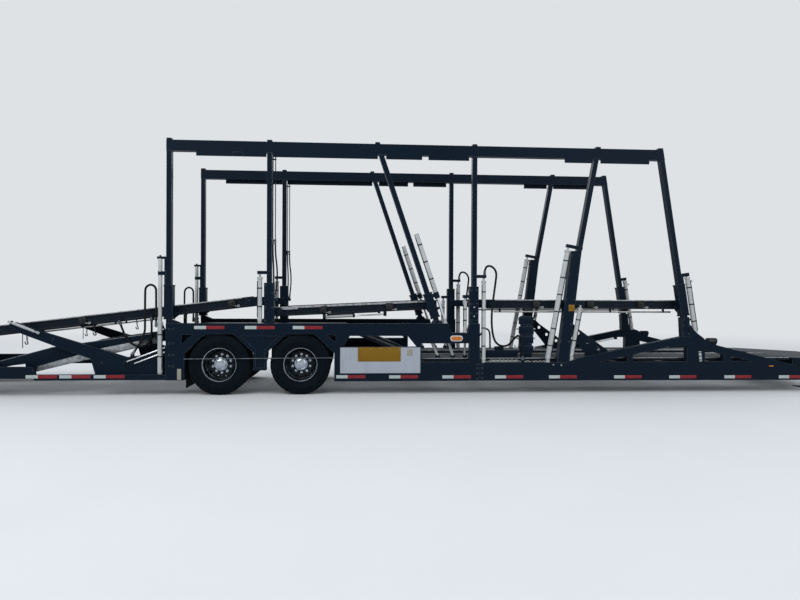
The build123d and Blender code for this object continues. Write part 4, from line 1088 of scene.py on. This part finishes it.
class TRAILER_OT_cylinders(bpy.types.Operator):
    """Adds the lifts' rods, the middle lift's barrel, and the cylinders' straps and oil pipes"""

    bl_idname = "trailer.cylinders"
    bl_label = "Cylinders"

    def execute(self, context):
        barrels = (
            # body, post, offset, square to the post, foot, top, radius, side of the pipe
            ("frame", "post_2", -0.145, False, 1.15, 1.83, 0.037, -1),
            ("frame", "post_4", 0.152, False, 0.53, 1.79, 0.034, -1),
            ("frame", "post_4", -0.147, False, 1.005, 1.47, 0.03, -1),
            ("frame", "post_5", -0.19, False, 0.547, 2.29, 0.041, 1),
            ("frame", "post_5", 0.19, False, 0.59, 1.364, 0.034, 1),
            ("frame", "post_1", -0.13, True, 0.345, 1.13, 0.038, 1),
            ("frame", "post_6", 0.14, True, 0.92, 1.85, 0.038, 1),
            ("lift_slide_middle", "post_3", 0.13, True, 1.565, 2.478, 0.0388, -1),
        )
        made = {"frame": [], "lift_slide_middle": []}
        for body, post, offset, square, foot, top, radius, side in barrels:
            low, high = beside_post(post, offset, foot, square), beside_post(post, offset, top, square)
            along = (high - low).normalized()
            aside = Vector((side * 0.8, -0.6, 0)) * (radius + 0.007)
            if body != "frame":
                made[body].append(dress(bar(low, high, radius, sides=32, cap=0.004), "cylinder_enamel"))
            # An oil pipe from the gland to the foot, 11 mm thick, strapped to the barrel every 300 mm
            start, end = low + along * 0.05, high - along * 0.06
            reach, bend, half = (end - start).length, along * 0.03, along * 0.009
            route = (start, start + aside, start + aside + bend, end + aside - bend, end + aside, end)
            made[body].append(dress(hose(route, 0.0055, sides=2), "chassis_enamel"))
            count = max(2, round(reach / 0.3))
            for i in range(count):
                middle = start + along * reach * (i + 0.6) / count
                strap = bar(middle - half, middle + half, radius + 0.0018, sides=32, cap=0.0006)
                clip = bar(middle + aside - half, middle + aside + half, 0.0085, sides=12, cap=0.001)
                made[body].append(dress([strap, clip], "hose_rubber"))
        rods = (
            # body, post, offset, foot, top, radius, finish
            ("lift_slide_rear", "post_1", -0.13, 0.392, 1.849, 0.031, "cylinder_enamel"),
            ("lift_slide_front", "post_6", 0.14, 0.982, 1.861, 0.0224, "hard_chrome"),
            ("frame", "post_3", 0.13, 1.135, 2.417, 0.0224, "hard_chrome"),
        )
        for body, post, offset, foot, top, radius, finish in rods:
            low, high = beside_post(post, offset, foot, True), beside_post(post, offset, top, True)
            made.setdefault(body, []).append(dress(bar(low, high, radius, sides=28), finish))
        # The rear lift's rod goes on above its bracket, up to a head on a strap
        x = POSTS["post_1"][0]
        upper = bar((x - 0.13, CYLINDER_Y, 1.9), (x - 0.13, CYLINDER_Y, 2.104), 0.031, sides=28)
        head = [
            block((0.132, 0.054, 0.036), (x - 0.11, CYLINDER_Y, 2.118), 0.004),
            block((0.022, 0.054, 0.256), (x - 0.054, CYLINDER_Y, 2.008), 0.003),
            bar((x - 0.13, CYLINDER_Y, 2.132), (x - 0.13, CYLINDER_Y, 2.156), 0.016, sides=6, cap=0.002),
        ]
        made["lift_slide_rear"] += [dress(upper, "cylinder_enamel"), dress(head, "chassis_enamel")]
        for body, pieces in made.items():
            finish_pair(pieces, f"oil_pipes_{body}", body, smooth=40)
        return {"FINISHED"}


class TRAILER_OT_edges(bpy.types.Operator):
    """Adds the pale edges of the decks, partly worn steel and partly painted highlight, the pale edges of the
    floor, the side and guard rods, and the corner sheets of painted shade
    """

    bl_idname = "trailer.edges"
    bl_label = "Edges and rods"

    def execute(self, context):
        # The decks' pale strips paint the glint along their top edges: painted highlight, partly worn steel
        # Piece, body, and the size and place of its strips, along the deck where there is one
        for name, body, strips in (
            ("galvanised_and_highlight_edge", "deck_middle", (
                ((2.46, 0.003, 0.03), (1.185, -1.0966, 0.0592)),
                ((0.34, 0.0032, 0.05), (0.132, -1.0968, 0.049)),
            )),
            ("highlight_lip_deck_rear", "deck_rear", (((4.98, 0.003, 0.015), (-2.61, -1.0962, 0.0676)),)),
            ("highlight_lip_deck_front", "deck_front", (((3.13, 0.003, 0.015), (1.635, -1.0962, 0.0676)),)),
            ("floor_edges", "frame", (
                ((6.15, 0.003, 0.013), (3.395, -1.1515, 0.5485)),
                ((6.15, 0.004, 0.03), (3.395, -0.4285, 0.5605)),
            )),
        ):
            edge = dress([block(size, place, 0.001) for size, place in strips], "galvanised_and_highlight_edge")
            finish_pair(edge if body == "frame" else on_deck(edge, body), name, body)

        # A rod in clamps ahead of post 2, and the guard rod across the wheels, bent in at its ends
        y, radius = -1.262, 0.0075
        made = [bar((x, y, 3.766), (x, y, 2.38), radius) for x in (-2.028, -1.99)]
        made += [block((0.085, 0.022, 0.022), (-2.018, y, z), 0.003) for z in (2.4, 3.66)]
        rods = dress(made, "chassis_enamel")
        guard = hose((
            (-3.372, -1.29, 0.562), (-3.372, -1.3045, 0.562), (-3.33, -1.3045, 0.5622),
            (-1.106, -1.3045, 0.5738), (-1.064, -1.3045, 0.574), (-1.064, -1.29, 0.574),
        ), radius, sides=3)
        foot = dress(block((0.09, 0.036, 0.05), (-2.005, y, 1.478), 0.004), "chassis_enamel")
        finish_pair([rods, dress(guard, "nut_steel"), foot], "side_rods", "frame", smooth=40)

        # A dark sheet that closes the small corner window behind the rear wheel, from inside: painted shade
        # where the backdrop would show through
        sheet = plate([(-3.46, 0.76), (-3.39, 0.74), (-3.222, 0.9), (-3.222, 0.944), (-3.46, 0.944)],
                      1.1705, 1.1765, 0.001)
        finish_pair(dress(sheet, "chassis_enamel"), "corner_shade_sheets", "frame")
        return {"FINISHED"}


class TRAILER_OT_fasteners(bpy.types.Operator):
    """Adds the bolts of the posts' feet, the frame's joint and the arms, and the pins of the decks' pivots"""

    bl_idname = "trailer.fasteners"
    bl_label = "Fasteners"

    def execute(self, context):
        outward = Vector((0, -1, 0))
        spots = []
        # Two columns of bolts on each post's foot: middle x, run, half spacing, heights
        for x, run, half, heights in (
            (-2.082, 0.0, 0.055, (1.15, 1.36, 1.58, 1.7)),
            (1.139, 0.0, 0.048, (1.16, 1.27, 1.42, 1.64)),
            (2.61, -0.13, 0.07, (0.82, 1.1, 1.5, 1.9, 2.2)),
            (4.625, -0.06, 0.05, (0.95, 1.08, 1.18)),
            (0.548, 0.0, 0.05, (1.13,)),
        ):
            for height in heights:
                for side in (-1, 1):
                    spots.append((x + (heights[0] - height) * run + side * half, POST_FACE_Y, height))
        # The joint of the frame's two halves, the arms' plates and the rear column
        spots += [(x, FRAME_FACE_Y, z) for x in (1.19, 1.272) for z in (0.24, 0.32, 0.4, 0.46)]
        spots += [(-3.59 + i * 0.06, FRAME_FACE_Y, z) for i in range(2) for z in (0.45, 0.62, 0.8, 1.02)]
        on_arms = ((-3.72, 0.56), (-3.72, 0.42), (-4.62, 0.5), (-5.35, 0.86), (-5.78, 1.02))
        spots += [(x, -1.208, z) for x, z in on_arms]
        made = [dress(copies(bolt((0, 0, 0), outward), spots), "chassis_enamel")]
        bare = (
            (1.14, POST_FACE_Y, 1.225), (1.14, POST_FACE_Y, 1.37),
            (2.42, FRAME_FACE_Y, 0.455), (2.55, FRAME_FACE_Y, 0.447),
        )
        made.append(dress(copies(bolt((0, 0, 0), outward, 0.016, 0.008), bare), "zinc_plate"))
        # Pins of the decks' pivots, each a round head with a hexagon on it
        pins = []
        for body in ("deck_rear", "deck_middle", "deck_front"):
            start = Vector((PIVOTS[body].x, -1.1651, PIVOTS[body].z))
            pins.append(bar(start, start + outward * 0.012, 0.036, sides=24, cap=0.003))
            pins.append(bar(start, start + outward * 0.022, 0.012, sides=6, cap=0.002))
        made.append(dress(pins, "chassis_enamel"))
        finish_pair(made, "fasteners", "frame", smooth=30)
        return {"FINISHED"}


class TRAILER_OT_ratchets(bpy.types.Operator):
    """Adds the tie-down winches on the decks' rails, with their ratchet wheels and chains"""

    bl_idname = "trailer.ratchets"
    bl_label = "Tie-down winches"

    def execute(self, context):
        outline = (
            (-0.05, -0.045), (0.05, -0.045), (0.055, 0.03), (0.03, 0.058), (-0.03, 0.058), (-0.055, 0.03),
        )
        # Deck, and each winch's place along its rail
        for body, places in (
            ("deck_rear", (-4.62, -2.56, -1.35, -0.28)),
            ("deck_middle", (0.7, 1.75)),
            ("deck_front", (0.75, 1.65, 2.5)),
        ):
            cheek = plate(outline, 1.0955, 1.1005, 0.0015)
            cheeks = copies(cheek, ((0, 0, 0), (0, -0.048, 0)))
            drum = bar((0, -1.094, 0.005), (0, -1.156, 0.005), 0.017, sides=16)
            wheel = bar((0, -1.102, 0.005), (0, -1.112, 0.005), 0.04, sides=12, cap=0.001)
            only(wheel)
            bpy.ops.object.mode_set(mode="EDIT")
            choose(lambda place, normal: abs(normal.y) < 0.2 and -1.111 < place.y < -1.103)
            bpy.ops.mesh.inset(thickness=0.0035, use_individual=True)
            bpy.ops.mesh.extrude_region_shrink_fatten(TRANSFORM_OT_shrink_fatten={"value": 0.005})
            bpy.ops.object.mode_set(mode="OBJECT")
            socket = bar((-0.03, -1.15, 0.005), (0.03, -1.15, 0.005), 0.011, sides=10)
            pawl = block((0.06, 0.008, 0.014), (0.03, -1.107, 0.052), 0.002, turn=(0, radians(-24), 0))
            winch = dress([cheeks, drum, wheel, socket, pawl], "worn_steel")
            slack = chain((
                (0.0, -1.126, 0.02), (0.03, -1.126, -0.04), (0.075, -1.1235, -0.052), (0.12, -1.121, -0.045)
            ))
            winches = copies(join([winch, dress(slack, "zinc_plate")]), [(place, 0, 0) for place in places])
            finish_pair(on_deck(winches, body), f"tie_down_winches_{body}", body, smooth=30)
        return {"FINISHED"}


class TRAILER_OT_gear(bpy.types.Operator):
    """Adds the gear in the frame's windows: stub cylinders, the valve gear, and chains on the rail"""

    bl_idname = "trailer.gear"
    bl_label = "Valves, stub cylinders and chains"

    def execute(self, context):
        made = []
        # Stub cylinders on the floor behind the side frame's window: x of the foot and the head, and radius
        for foot, head, radius in ((0.575, 0.43, 0.023), (0.822, 0.71, 0.023), (1.016, 1.022, 0.02)):
            low, high = Vector((foot, -1.125, 0.592)), Vector((head, -1.125, 0.93))
            along = (high - low).normalized()
            barrel = dress(bar(low, high, radius, sides=24, cap=0.003), "cylinder_enamel")
            gland = bar(high - along * 0.03, high + along * 0.012, radius + 0.006, sides=24, cap=0.003)
            seat = block((0.07, 0.044, 0.04), (low.x, -1.125, 0.579), 0.004)
            hanger = block((0.07, 0.075, 0.07), (high.x + along.x * 0.03, -1.1385, high.z + 0.03), 0.004)
            made += [barrel, dress([gland, seat, hanger], "chassis_enamel")]
        # Valve gear on the well's floor, on the kerb side alone: a long box with a cap, and a stack of valves
        y = -1.12
        bank = [
            block((0.52, 0.062, 0.12), (1.62, -1.117, 0.619), 0.008),
            block((0.15, 0.056, 0.062), (1.575, -1.117, 0.708), 0.012),
            block((0.19, 0.04, 0.672), (2.02, y, 0.895), 0.006),
        ]
        nipples = []
        for z in (0.69, 0.845, 1.0, 1.155):
            bank.append(block((0.235, 0.062, 0.122), (2.02, -1.118, z), 0.01))
            level = z + 0.02
            for x, reach in ((1.905, -0.04), (2.135, 0.035)):
                nipples.append(bar((x, y, level), (x + reach, y, level), 0.013, sides=6, cap=0.002))
        nipples.append(bar((1.84, y, 0.679), (1.84, y, 0.76), 0.012, sides=12, cap=0.003))
        valves = [dress(bank, "chassis_enamel"), dress(nipples, "zinc_plate")]
        # Chains heaped along the rail's top
        runs = (
            ((1.345, -1.2, 0.499), (1.52, -1.21, 0.4985), (1.66, -1.196, 0.5), (1.86, -1.205, 0.499),
             (2.08, -1.2, 0.499)),
            ((1.4, -1.225, 0.5), (1.6, -1.232, 0.499), (1.84, -1.224, 0.5), (1.885, -1.205, 0.512),
             (1.62, -1.212, 0.517), (1.42, -1.207, 0.516)),
            ((2.1, -1.215, 0.499), (2.17, -1.232, 0.499), (2.24, -1.21, 0.499), (2.33, -1.222, 0.499)),
        )
        made.append(dress([chain(run) for run in runs], "zinc_plate"))
        gear = join([both_sides(join(made)), *valves])
        finish_piece(gear, "window_gear", "frame")
        return {"FINISHED"}


class TRAILER_OT_hoses(bpy.types.Operator):
    """Adds the hydraulic hoses that hang in loops, with their fittings"""

    bl_idname = "trailer.hoses"
    bl_label = "Hydraulic hoses"

    def execute(self, context):
        # Name, body, distance from the middle, diameter, length, and the points of the route in x and z.
        # Those in loops are measured over their sleeves.
        routes = (
            ("hose_rear", "frame", 1.25, SLEEVED_HOSE_DIAMETER, 1.82, (
                (-3.798, 1.075), (-3.798, 1.58), (-3.805, 1.665), (-3.8815, 1.712), (-3.958, 1.665),
                (-3.965, 1.58), (-3.965, 1.2), (-3.965, 0.88), (-4.15, 0.64),
            )),
            ("hose_middle", "frame", 1.25, SLEEVED_HOSE_DIAMETER, 2.33, (
                (1.31, 1.885), (1.31, 1.96), (1.35, 2.035), (1.44, 2.02), (1.505, 1.93), (1.49, 1.78),
                (1.415, 1.24), (1.45, 0.86), (1.56, 0.745), (1.7, 0.755), (1.79, 0.87), (1.86, 0.93),
                (1.92, 0.87), (1.93, 0.75), (1.93, 0.53),
            )),
            ("hose_deck_rear", "deck_rear", 1.12, SLEEVED_HOSE_DIAMETER, 1.07, (
                (-3.905, 1.185), (-3.9, 1.0), (-3.905, 0.86), (-3.975, 0.755), (-4.1, 0.735), (-4.23, 0.8),
                (-4.32, 0.93), (-4.385, 1.13),
            )),
            ("hose_post_2_front", "frame", 1.262, HOSE_DIAMETER, 0.9, (
                (-1.99, 2.4), (-1.99, 2.2), (-1.956, 1.95), (-1.962, 1.7), (-1.988, 1.5),
            )),
            ("hose_post_2_rear", "frame", 1.262, HOSE_DIAMETER, 0.9, (
                (-2.028, 2.4), (-2.028, 2.2), (-2.012, 1.95), (-2.014, 1.7), (-2.022, 1.5),
            )),
        )
        ends = {"frame": [], "deck_rear": []}
        for name, body, reach, diameter, length, route in routes:
            radius = diameter / 2
            for side, label in ((-1, "right"), (1, "left")):
                points = [(x, side * reach, z) for x, z in route]
                line = dress(laid_line(points, radius), "hose_rubber")
                line.name = f"{name}_{label}"
                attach(line, body)
                if name in ("hose_rear", "hose_middle"):
                    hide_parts("hydraulic_hoses")
            # A crimped ferrule and a nut at each end
            for (x, z), (next_x, next_z) in (route[:2], (route[-1], route[-2])):
                foot, along = Vector((x, -reach, z)), Vector((next_x - x, 0, next_z - z)).normalized()
                ferrule = bar(foot - along * 0.004, foot + along * 0.06, radius + 0.004, sides=20, cap=0.002)
                nut = bar(foot - along * 0.018, foot + along * 0.012, radius + 0.007, sides=6, cap=0.002)
                ends[body].append(dress([ferrule, nut], "nut_steel"))
        # Blocks that take the hoses' ends: on the arm, on the rail, and on the deck's side rail
        for body, size, place in (
            ("frame", (0.05, 0.06, 0.045), (-4.155, -1.238, 0.612)),
            ("frame", (0.05, 0.05, 0.046), (1.93, -1.25, 0.511)),
            ("deck_rear", (0.05, 0.045, 0.05), (-3.905, -1.1175, 1.212)),
            ("deck_rear", (0.05, 0.045, 0.05), (-4.385, -1.1175, 1.156)),
        ):
            ends[body].append(dress(block(size, place, 0.004), "chassis_enamel"))
        for body, pieces in ends.items():
            fittings = finish_pair(pieces, f"hose_fittings_{body}", body)
            if body == "frame":
                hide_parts("hydraulic_hoses")
        return {"FINISHED"}


class TRAILER_OT_rear_gear(bpy.types.Operator):
    """Adds the ramp's side plates and stowed skids, and the arms' light bars, rods, pins and hooks"""

    bl_idname = "trailer.rear_gear"
    bl_label = "Rear gear"

    def execute(self, context):
        # Ramp: a side plate with a lug, deepest behind the arm, its top edge bright: worn steel and painted
        # highlight
        top = (
            (-3.9, 0.945), (-4.913, 0.805), (-5.402, 0.733), (-6.174, 0.521), (-6.85, 0.345), (-7.25, 0.27),
        )
        bottom = (
            (-7.25, 0.216), (-6.85, 0.262), (-6.174, 0.436), (-5.8, 0.476), (-5.79, 0.34), (-5.65, 0.335),
            (-5.62, 0.44), (-5.06, 0.6), (-4.69, 0.715), (-4.084, 0.84), (-3.9, 0.874),
        )
        side = dress(plate(bottom + top, 1.0952, 1.1004, 0.0012), "chassis_enamel")
        lips = []
        for (x0, z0), (x1, z1) in zip(top, top[1:]):
            size = (hypot(x1 - x0, z1 - z0) - 0.004, 0.014, 0.006)
            place = ((x0 + x1) / 2, -1.0945, (z0 + z1) / 2 - 0.001)
            lips.append(block(size, place, 0.001, turn=(0, atan((z1 - z0) / (x0 - x1)), 0)))
        lip = dress(lips, "galvanised_and_highlight_edge")
        # A plain skid stowed on edge under the runner, its rear end cut on a slant, on two carriers
        outline = ((-5.69, 0.34), (-4.1, 0.736), (-4.1, 0.88), (-4.95, 0.66), (-5.26, 0.56), (-5.75, 0.43))
        skid = dress(plate(outline, 1.077, 1.091, 0.002), "galvanised_and_highlight_edge")
        carriers = [
            block((0.05, 0.042, 0.17), (x, -1.057, z), 0.003, turn=(0, -atan(0.27), 0))
            for x, z in ((-5.35, 0.515), (-4.55, 0.71))
        ]
        ramp = [side, lip, skid, dress(carriers, "deck_steel")]
        finish_pair(ramp, "ramp_side_plates", "rear_ramp")

        # Arms: a light bar in its housing on the outer face, with a lens along it, and two brackets
        slope = radians(21.5)
        made = []
        for size, x, y, z, finish in (
            ((0.5, 0.024, 0.036), -5.77, -1.219, 1.0435, "zinc_plate"),
            ((0.46, 0.008, 0.02), -5.77, -1.2325, 1.0435, "shaded_white_sheet"),
            ((0.03, 0.034, 0.055), -5.95, -1.216, 1.114, "chassis_enamel"),
            ((0.03, 0.034, 0.055), -5.6, -1.216, 0.9765, "chassis_enamel"),
        ):
            made.append(dress(block(size, (x, y, z), 0.003, turn=(0, slope, 0)), finish))
        # Two chromed locking rods beside the arm's foot, each between a clevis and the column
        for (x0, z0), (x1, z1) in (((-4.27, 0.506), (-3.66, 0.738)), ((-4.158, 0.478), (-3.66, 0.668))):
            made.append(dress(bar((x0, -1.224, z0), (x1, -1.224, z1), 0.013, sides=20), "hard_chrome"))
            for x, z, length in ((x0, z0, 0.06), (x1 + 0.01, z1, 0.05)):
                made.append(dress(
                    block((length, 0.034, 0.036), (x, -1.2235, z), 0.004, turn=(0, -radians(21), 0)),
                    "chassis_enamel",
                ))
        # A locking pin and a hook on a chain, under the arm's upper end
        y = -1.18
        pin = bar((-5.804, y, 0.96), (-5.804, y, 0.722), 0.006, sides=10)
        links = chain(((-5.739, y, 0.99), (-5.739, y, 0.85)), 0.005, 0.04)
        route = (
            (-5.739, 0.862), (-5.739, 0.83), (-5.72, 0.795), (-5.745, 0.78), (-5.77, 0.8), (-5.765, 0.825),
        )
        hook = hose([(x, y, z) for x, z in route], 0.008, sides=3)
        made.append(dress([pin, links, hook], "worn_steel"))
        finish_pair(made, "arm_lights_and_rods", "frame")

        # Rear deck: a hook that hangs on a chain from the side rail
        x, y = -2.42, -1.06
        drop = chain(((x, y, -0.07), (x, y, -0.17)), 0.006, 0.045)
        route = ((0, -0.16), (0, -0.195), (0.02, -0.235), (-0.005, -0.25), (-0.03, -0.23), (-0.026, -0.2))
        crook = hose([(x + aside, y, z) for aside, z in route], 0.009, sides=3)
        held = on_deck(dress([drop, crook], "worn_steel"), "deck_rear")
        finish_pair(held, "deck_hooks", "deck_rear")
        return {"FINISHED"}


class TRAILER_OT_labels(bpy.types.Operator):
    """Adds the plain labels of the posts and columns, and a plate between the top rail's hangers"""

    bl_idname = "trailer.labels"
    bl_label = "Labels and hanger plate"

    def execute(self, context):
        made = []
        for size, place, across, finish in (
            ((0.096, 0.0014, 0.104), (2.719, -1.2827, 1.364), 0.038, "shaded_yellow_sheet"),
            ((0.06, 0.0014, 0.168), (-3.44, -1.2957, 0.326), 0.0, "pale_label"),
        ):
            made.append(dress(block(size, place, 0.0005), finish))
            x, y, z = place
            rise = size[2] / 2 - 0.012
            spots = {(x + way * across, 0, z + up * rise) for way in (-1, 1) for up in (-1, 1)}
            studs = copies(bar((0, y, 0), (0, y - 0.003, 0), 0.004, sides=10, cap=0.001), sorted(spots))
            made.append(dress(studs, "zinc_plate"))
        made.append(dress(block((0.16, 0.0136, 0.0696), (-2.575, -1.268, 3.729), 0.001), "chassis_enamel"))
        finish_pair(made, "labels_and_hanger", "frame")
        return {"FINISHED"}


class TRAILER_OT_under_deck(bpy.types.Operator):
    """Adds the middle deck's cylinder, the other decks' conduits, and the gear of the front windows"""

    bl_idname = "trailer.under_deck"
    bl_label = "Cylinders and tubes under the decks"

    def execute(self, context):
        # Middle deck: a cylinder that draws the deck's slide, its barrel behind and its rod ahead
        y, z = -1.06, -0.118
        made = [
            dress(bar((0.72, y, z), (1.18, y, z), 0.024, sides=24), "cylinder_enamel"),
            dress(bar((1.17, y, z), (1.68, y, z), 0.012, sides=20), "hard_chrome"),
        ]
        black = [bar((x, y, z), (x + 0.03, y, z), 0.031, sides=24, cap=0.003) for x in (0.7, 1.165)]
        black += [block((0.05, 0.03, 0.085), (x, y, -0.105), 0.004) for x in (0.71, 1.68)]
        made.append(dress(black, "deck_steel"))
        drawn = on_deck(join(made), "deck_middle")
        finish_pair(drawn, "deck_cylinder_middle", "deck_middle", smooth=40)

        # Front and rear decks: a conduit on hangers
        for body, y, z, start, end, thickness, hung in (
            ("deck_front", -1.06, -0.122, 0.06, 3.03, 0.014, (0.16, 1.1, 2.0, 2.9)),
            ("deck_rear", -1.03, -0.104, -3.25, -2.0, 0.012, (-3.2, -2.6, -2.1)),
        ):
            tube = dress(bar((start, y, z), (end, y, z), thickness, sides=16), "zinc_plate")
            hangers = [block((0.03, 0.03, 0.062), (x, y, z + 0.018), 0.003) for x in hung]
            conduit = on_deck(join([tube, dress(hangers, "deck_steel")]), body)
            finish_pair(conduit, body.replace("deck", "deck_conduit"), body, smooth=40)

        # Frame's front windows: a slanted rod behind the chord, and a stub cylinder let into the leg
        rod = dress(bar((3.7, -1.15, 0.6), (4.42, -1.15, 0.735), 0.0125, sides=20), "hard_chrome")
        lugs = [block((0.05, 0.06, 0.05), (x, -1.155, z), 0.004) for x, z in ((3.7, 0.59), (4.43, 0.74))]
        y = -1.284
        stub = dress(bar((4.87, y, 0.5), (4.853, y, 0.665), 0.0262, sides=28, cap=0.003), "cylinder_enamel")
        rings = []
        for z in (0.52, 0.58, 0.64):
            x = 4.87 - 0.103 * (z - 0.5)
            rings.append(bar((x, y, z), (x - 0.0012, y, z + 0.012), 0.0283, sides=28, cap=0.001))
        dark = dress([*lugs, *rings], "chassis_enamel")
        finish_pair([rod, stub, dark], "front_window_gear", "frame", smooth=40)
        return {"FINISHED"}


class TRAILER_PT_panel(bpy.types.Panel):
    """Lists the trailer's sizes and the steps that add its pieces"""

    bl_label = "Car transporter trailer"
    bl_idname = "TRAILER_PT_panel"
    bl_space_type = "VIEW_3D"
    bl_region_type = "UI"
    bl_category = "Trailer"

    def draw(self, context):
        for name in TrailerSizes.__annotations__:
            self.layout.prop(context.scene.trailer_sizes, name)
        for step in STEPS:
            self.layout.operator(step.bl_idname)


STEPS = (
    TRAILER_OT_stage,
    TRAILER_OT_finishes,
    TRAILER_OT_tyres,
    TRAILER_OT_wheels,
    TRAILER_OT_tapes,
    TRAILER_OT_panels,
    TRAILER_OT_lamps,
    TRAILER_OT_planks,
    TRAILER_OT_cylinders,
    TRAILER_OT_edges,
    TRAILER_OT_fasteners,
    TRAILER_OT_ratchets,
    TRAILER_OT_gear,
    TRAILER_OT_hoses,
    TRAILER_OT_rear_gear,
    TRAILER_OT_labels,
    TRAILER_OT_under_deck,
)


def register():
    for kind in (TrailerSizes, *STEPS, TRAILER_PT_panel):
        bpy.utils.register_class(kind)
    bpy.types.Scene.trailer_sizes = bpy.props.PointerProperty(type=TrailerSizes)


def unregister():
    del bpy.types.Scene.trailer_sizes
    for kind in (TRAILER_PT_panel, *reversed(STEPS), TrailerSizes):
        bpy.utils.unregister_class(kind)


def main():
    register()
    for step in STEPS:
        area, name = step.bl_idname.split(".")
        getattr(getattr(bpy.ops, area), name)()
    deselect()


if __name__ == "__main__":
    main()
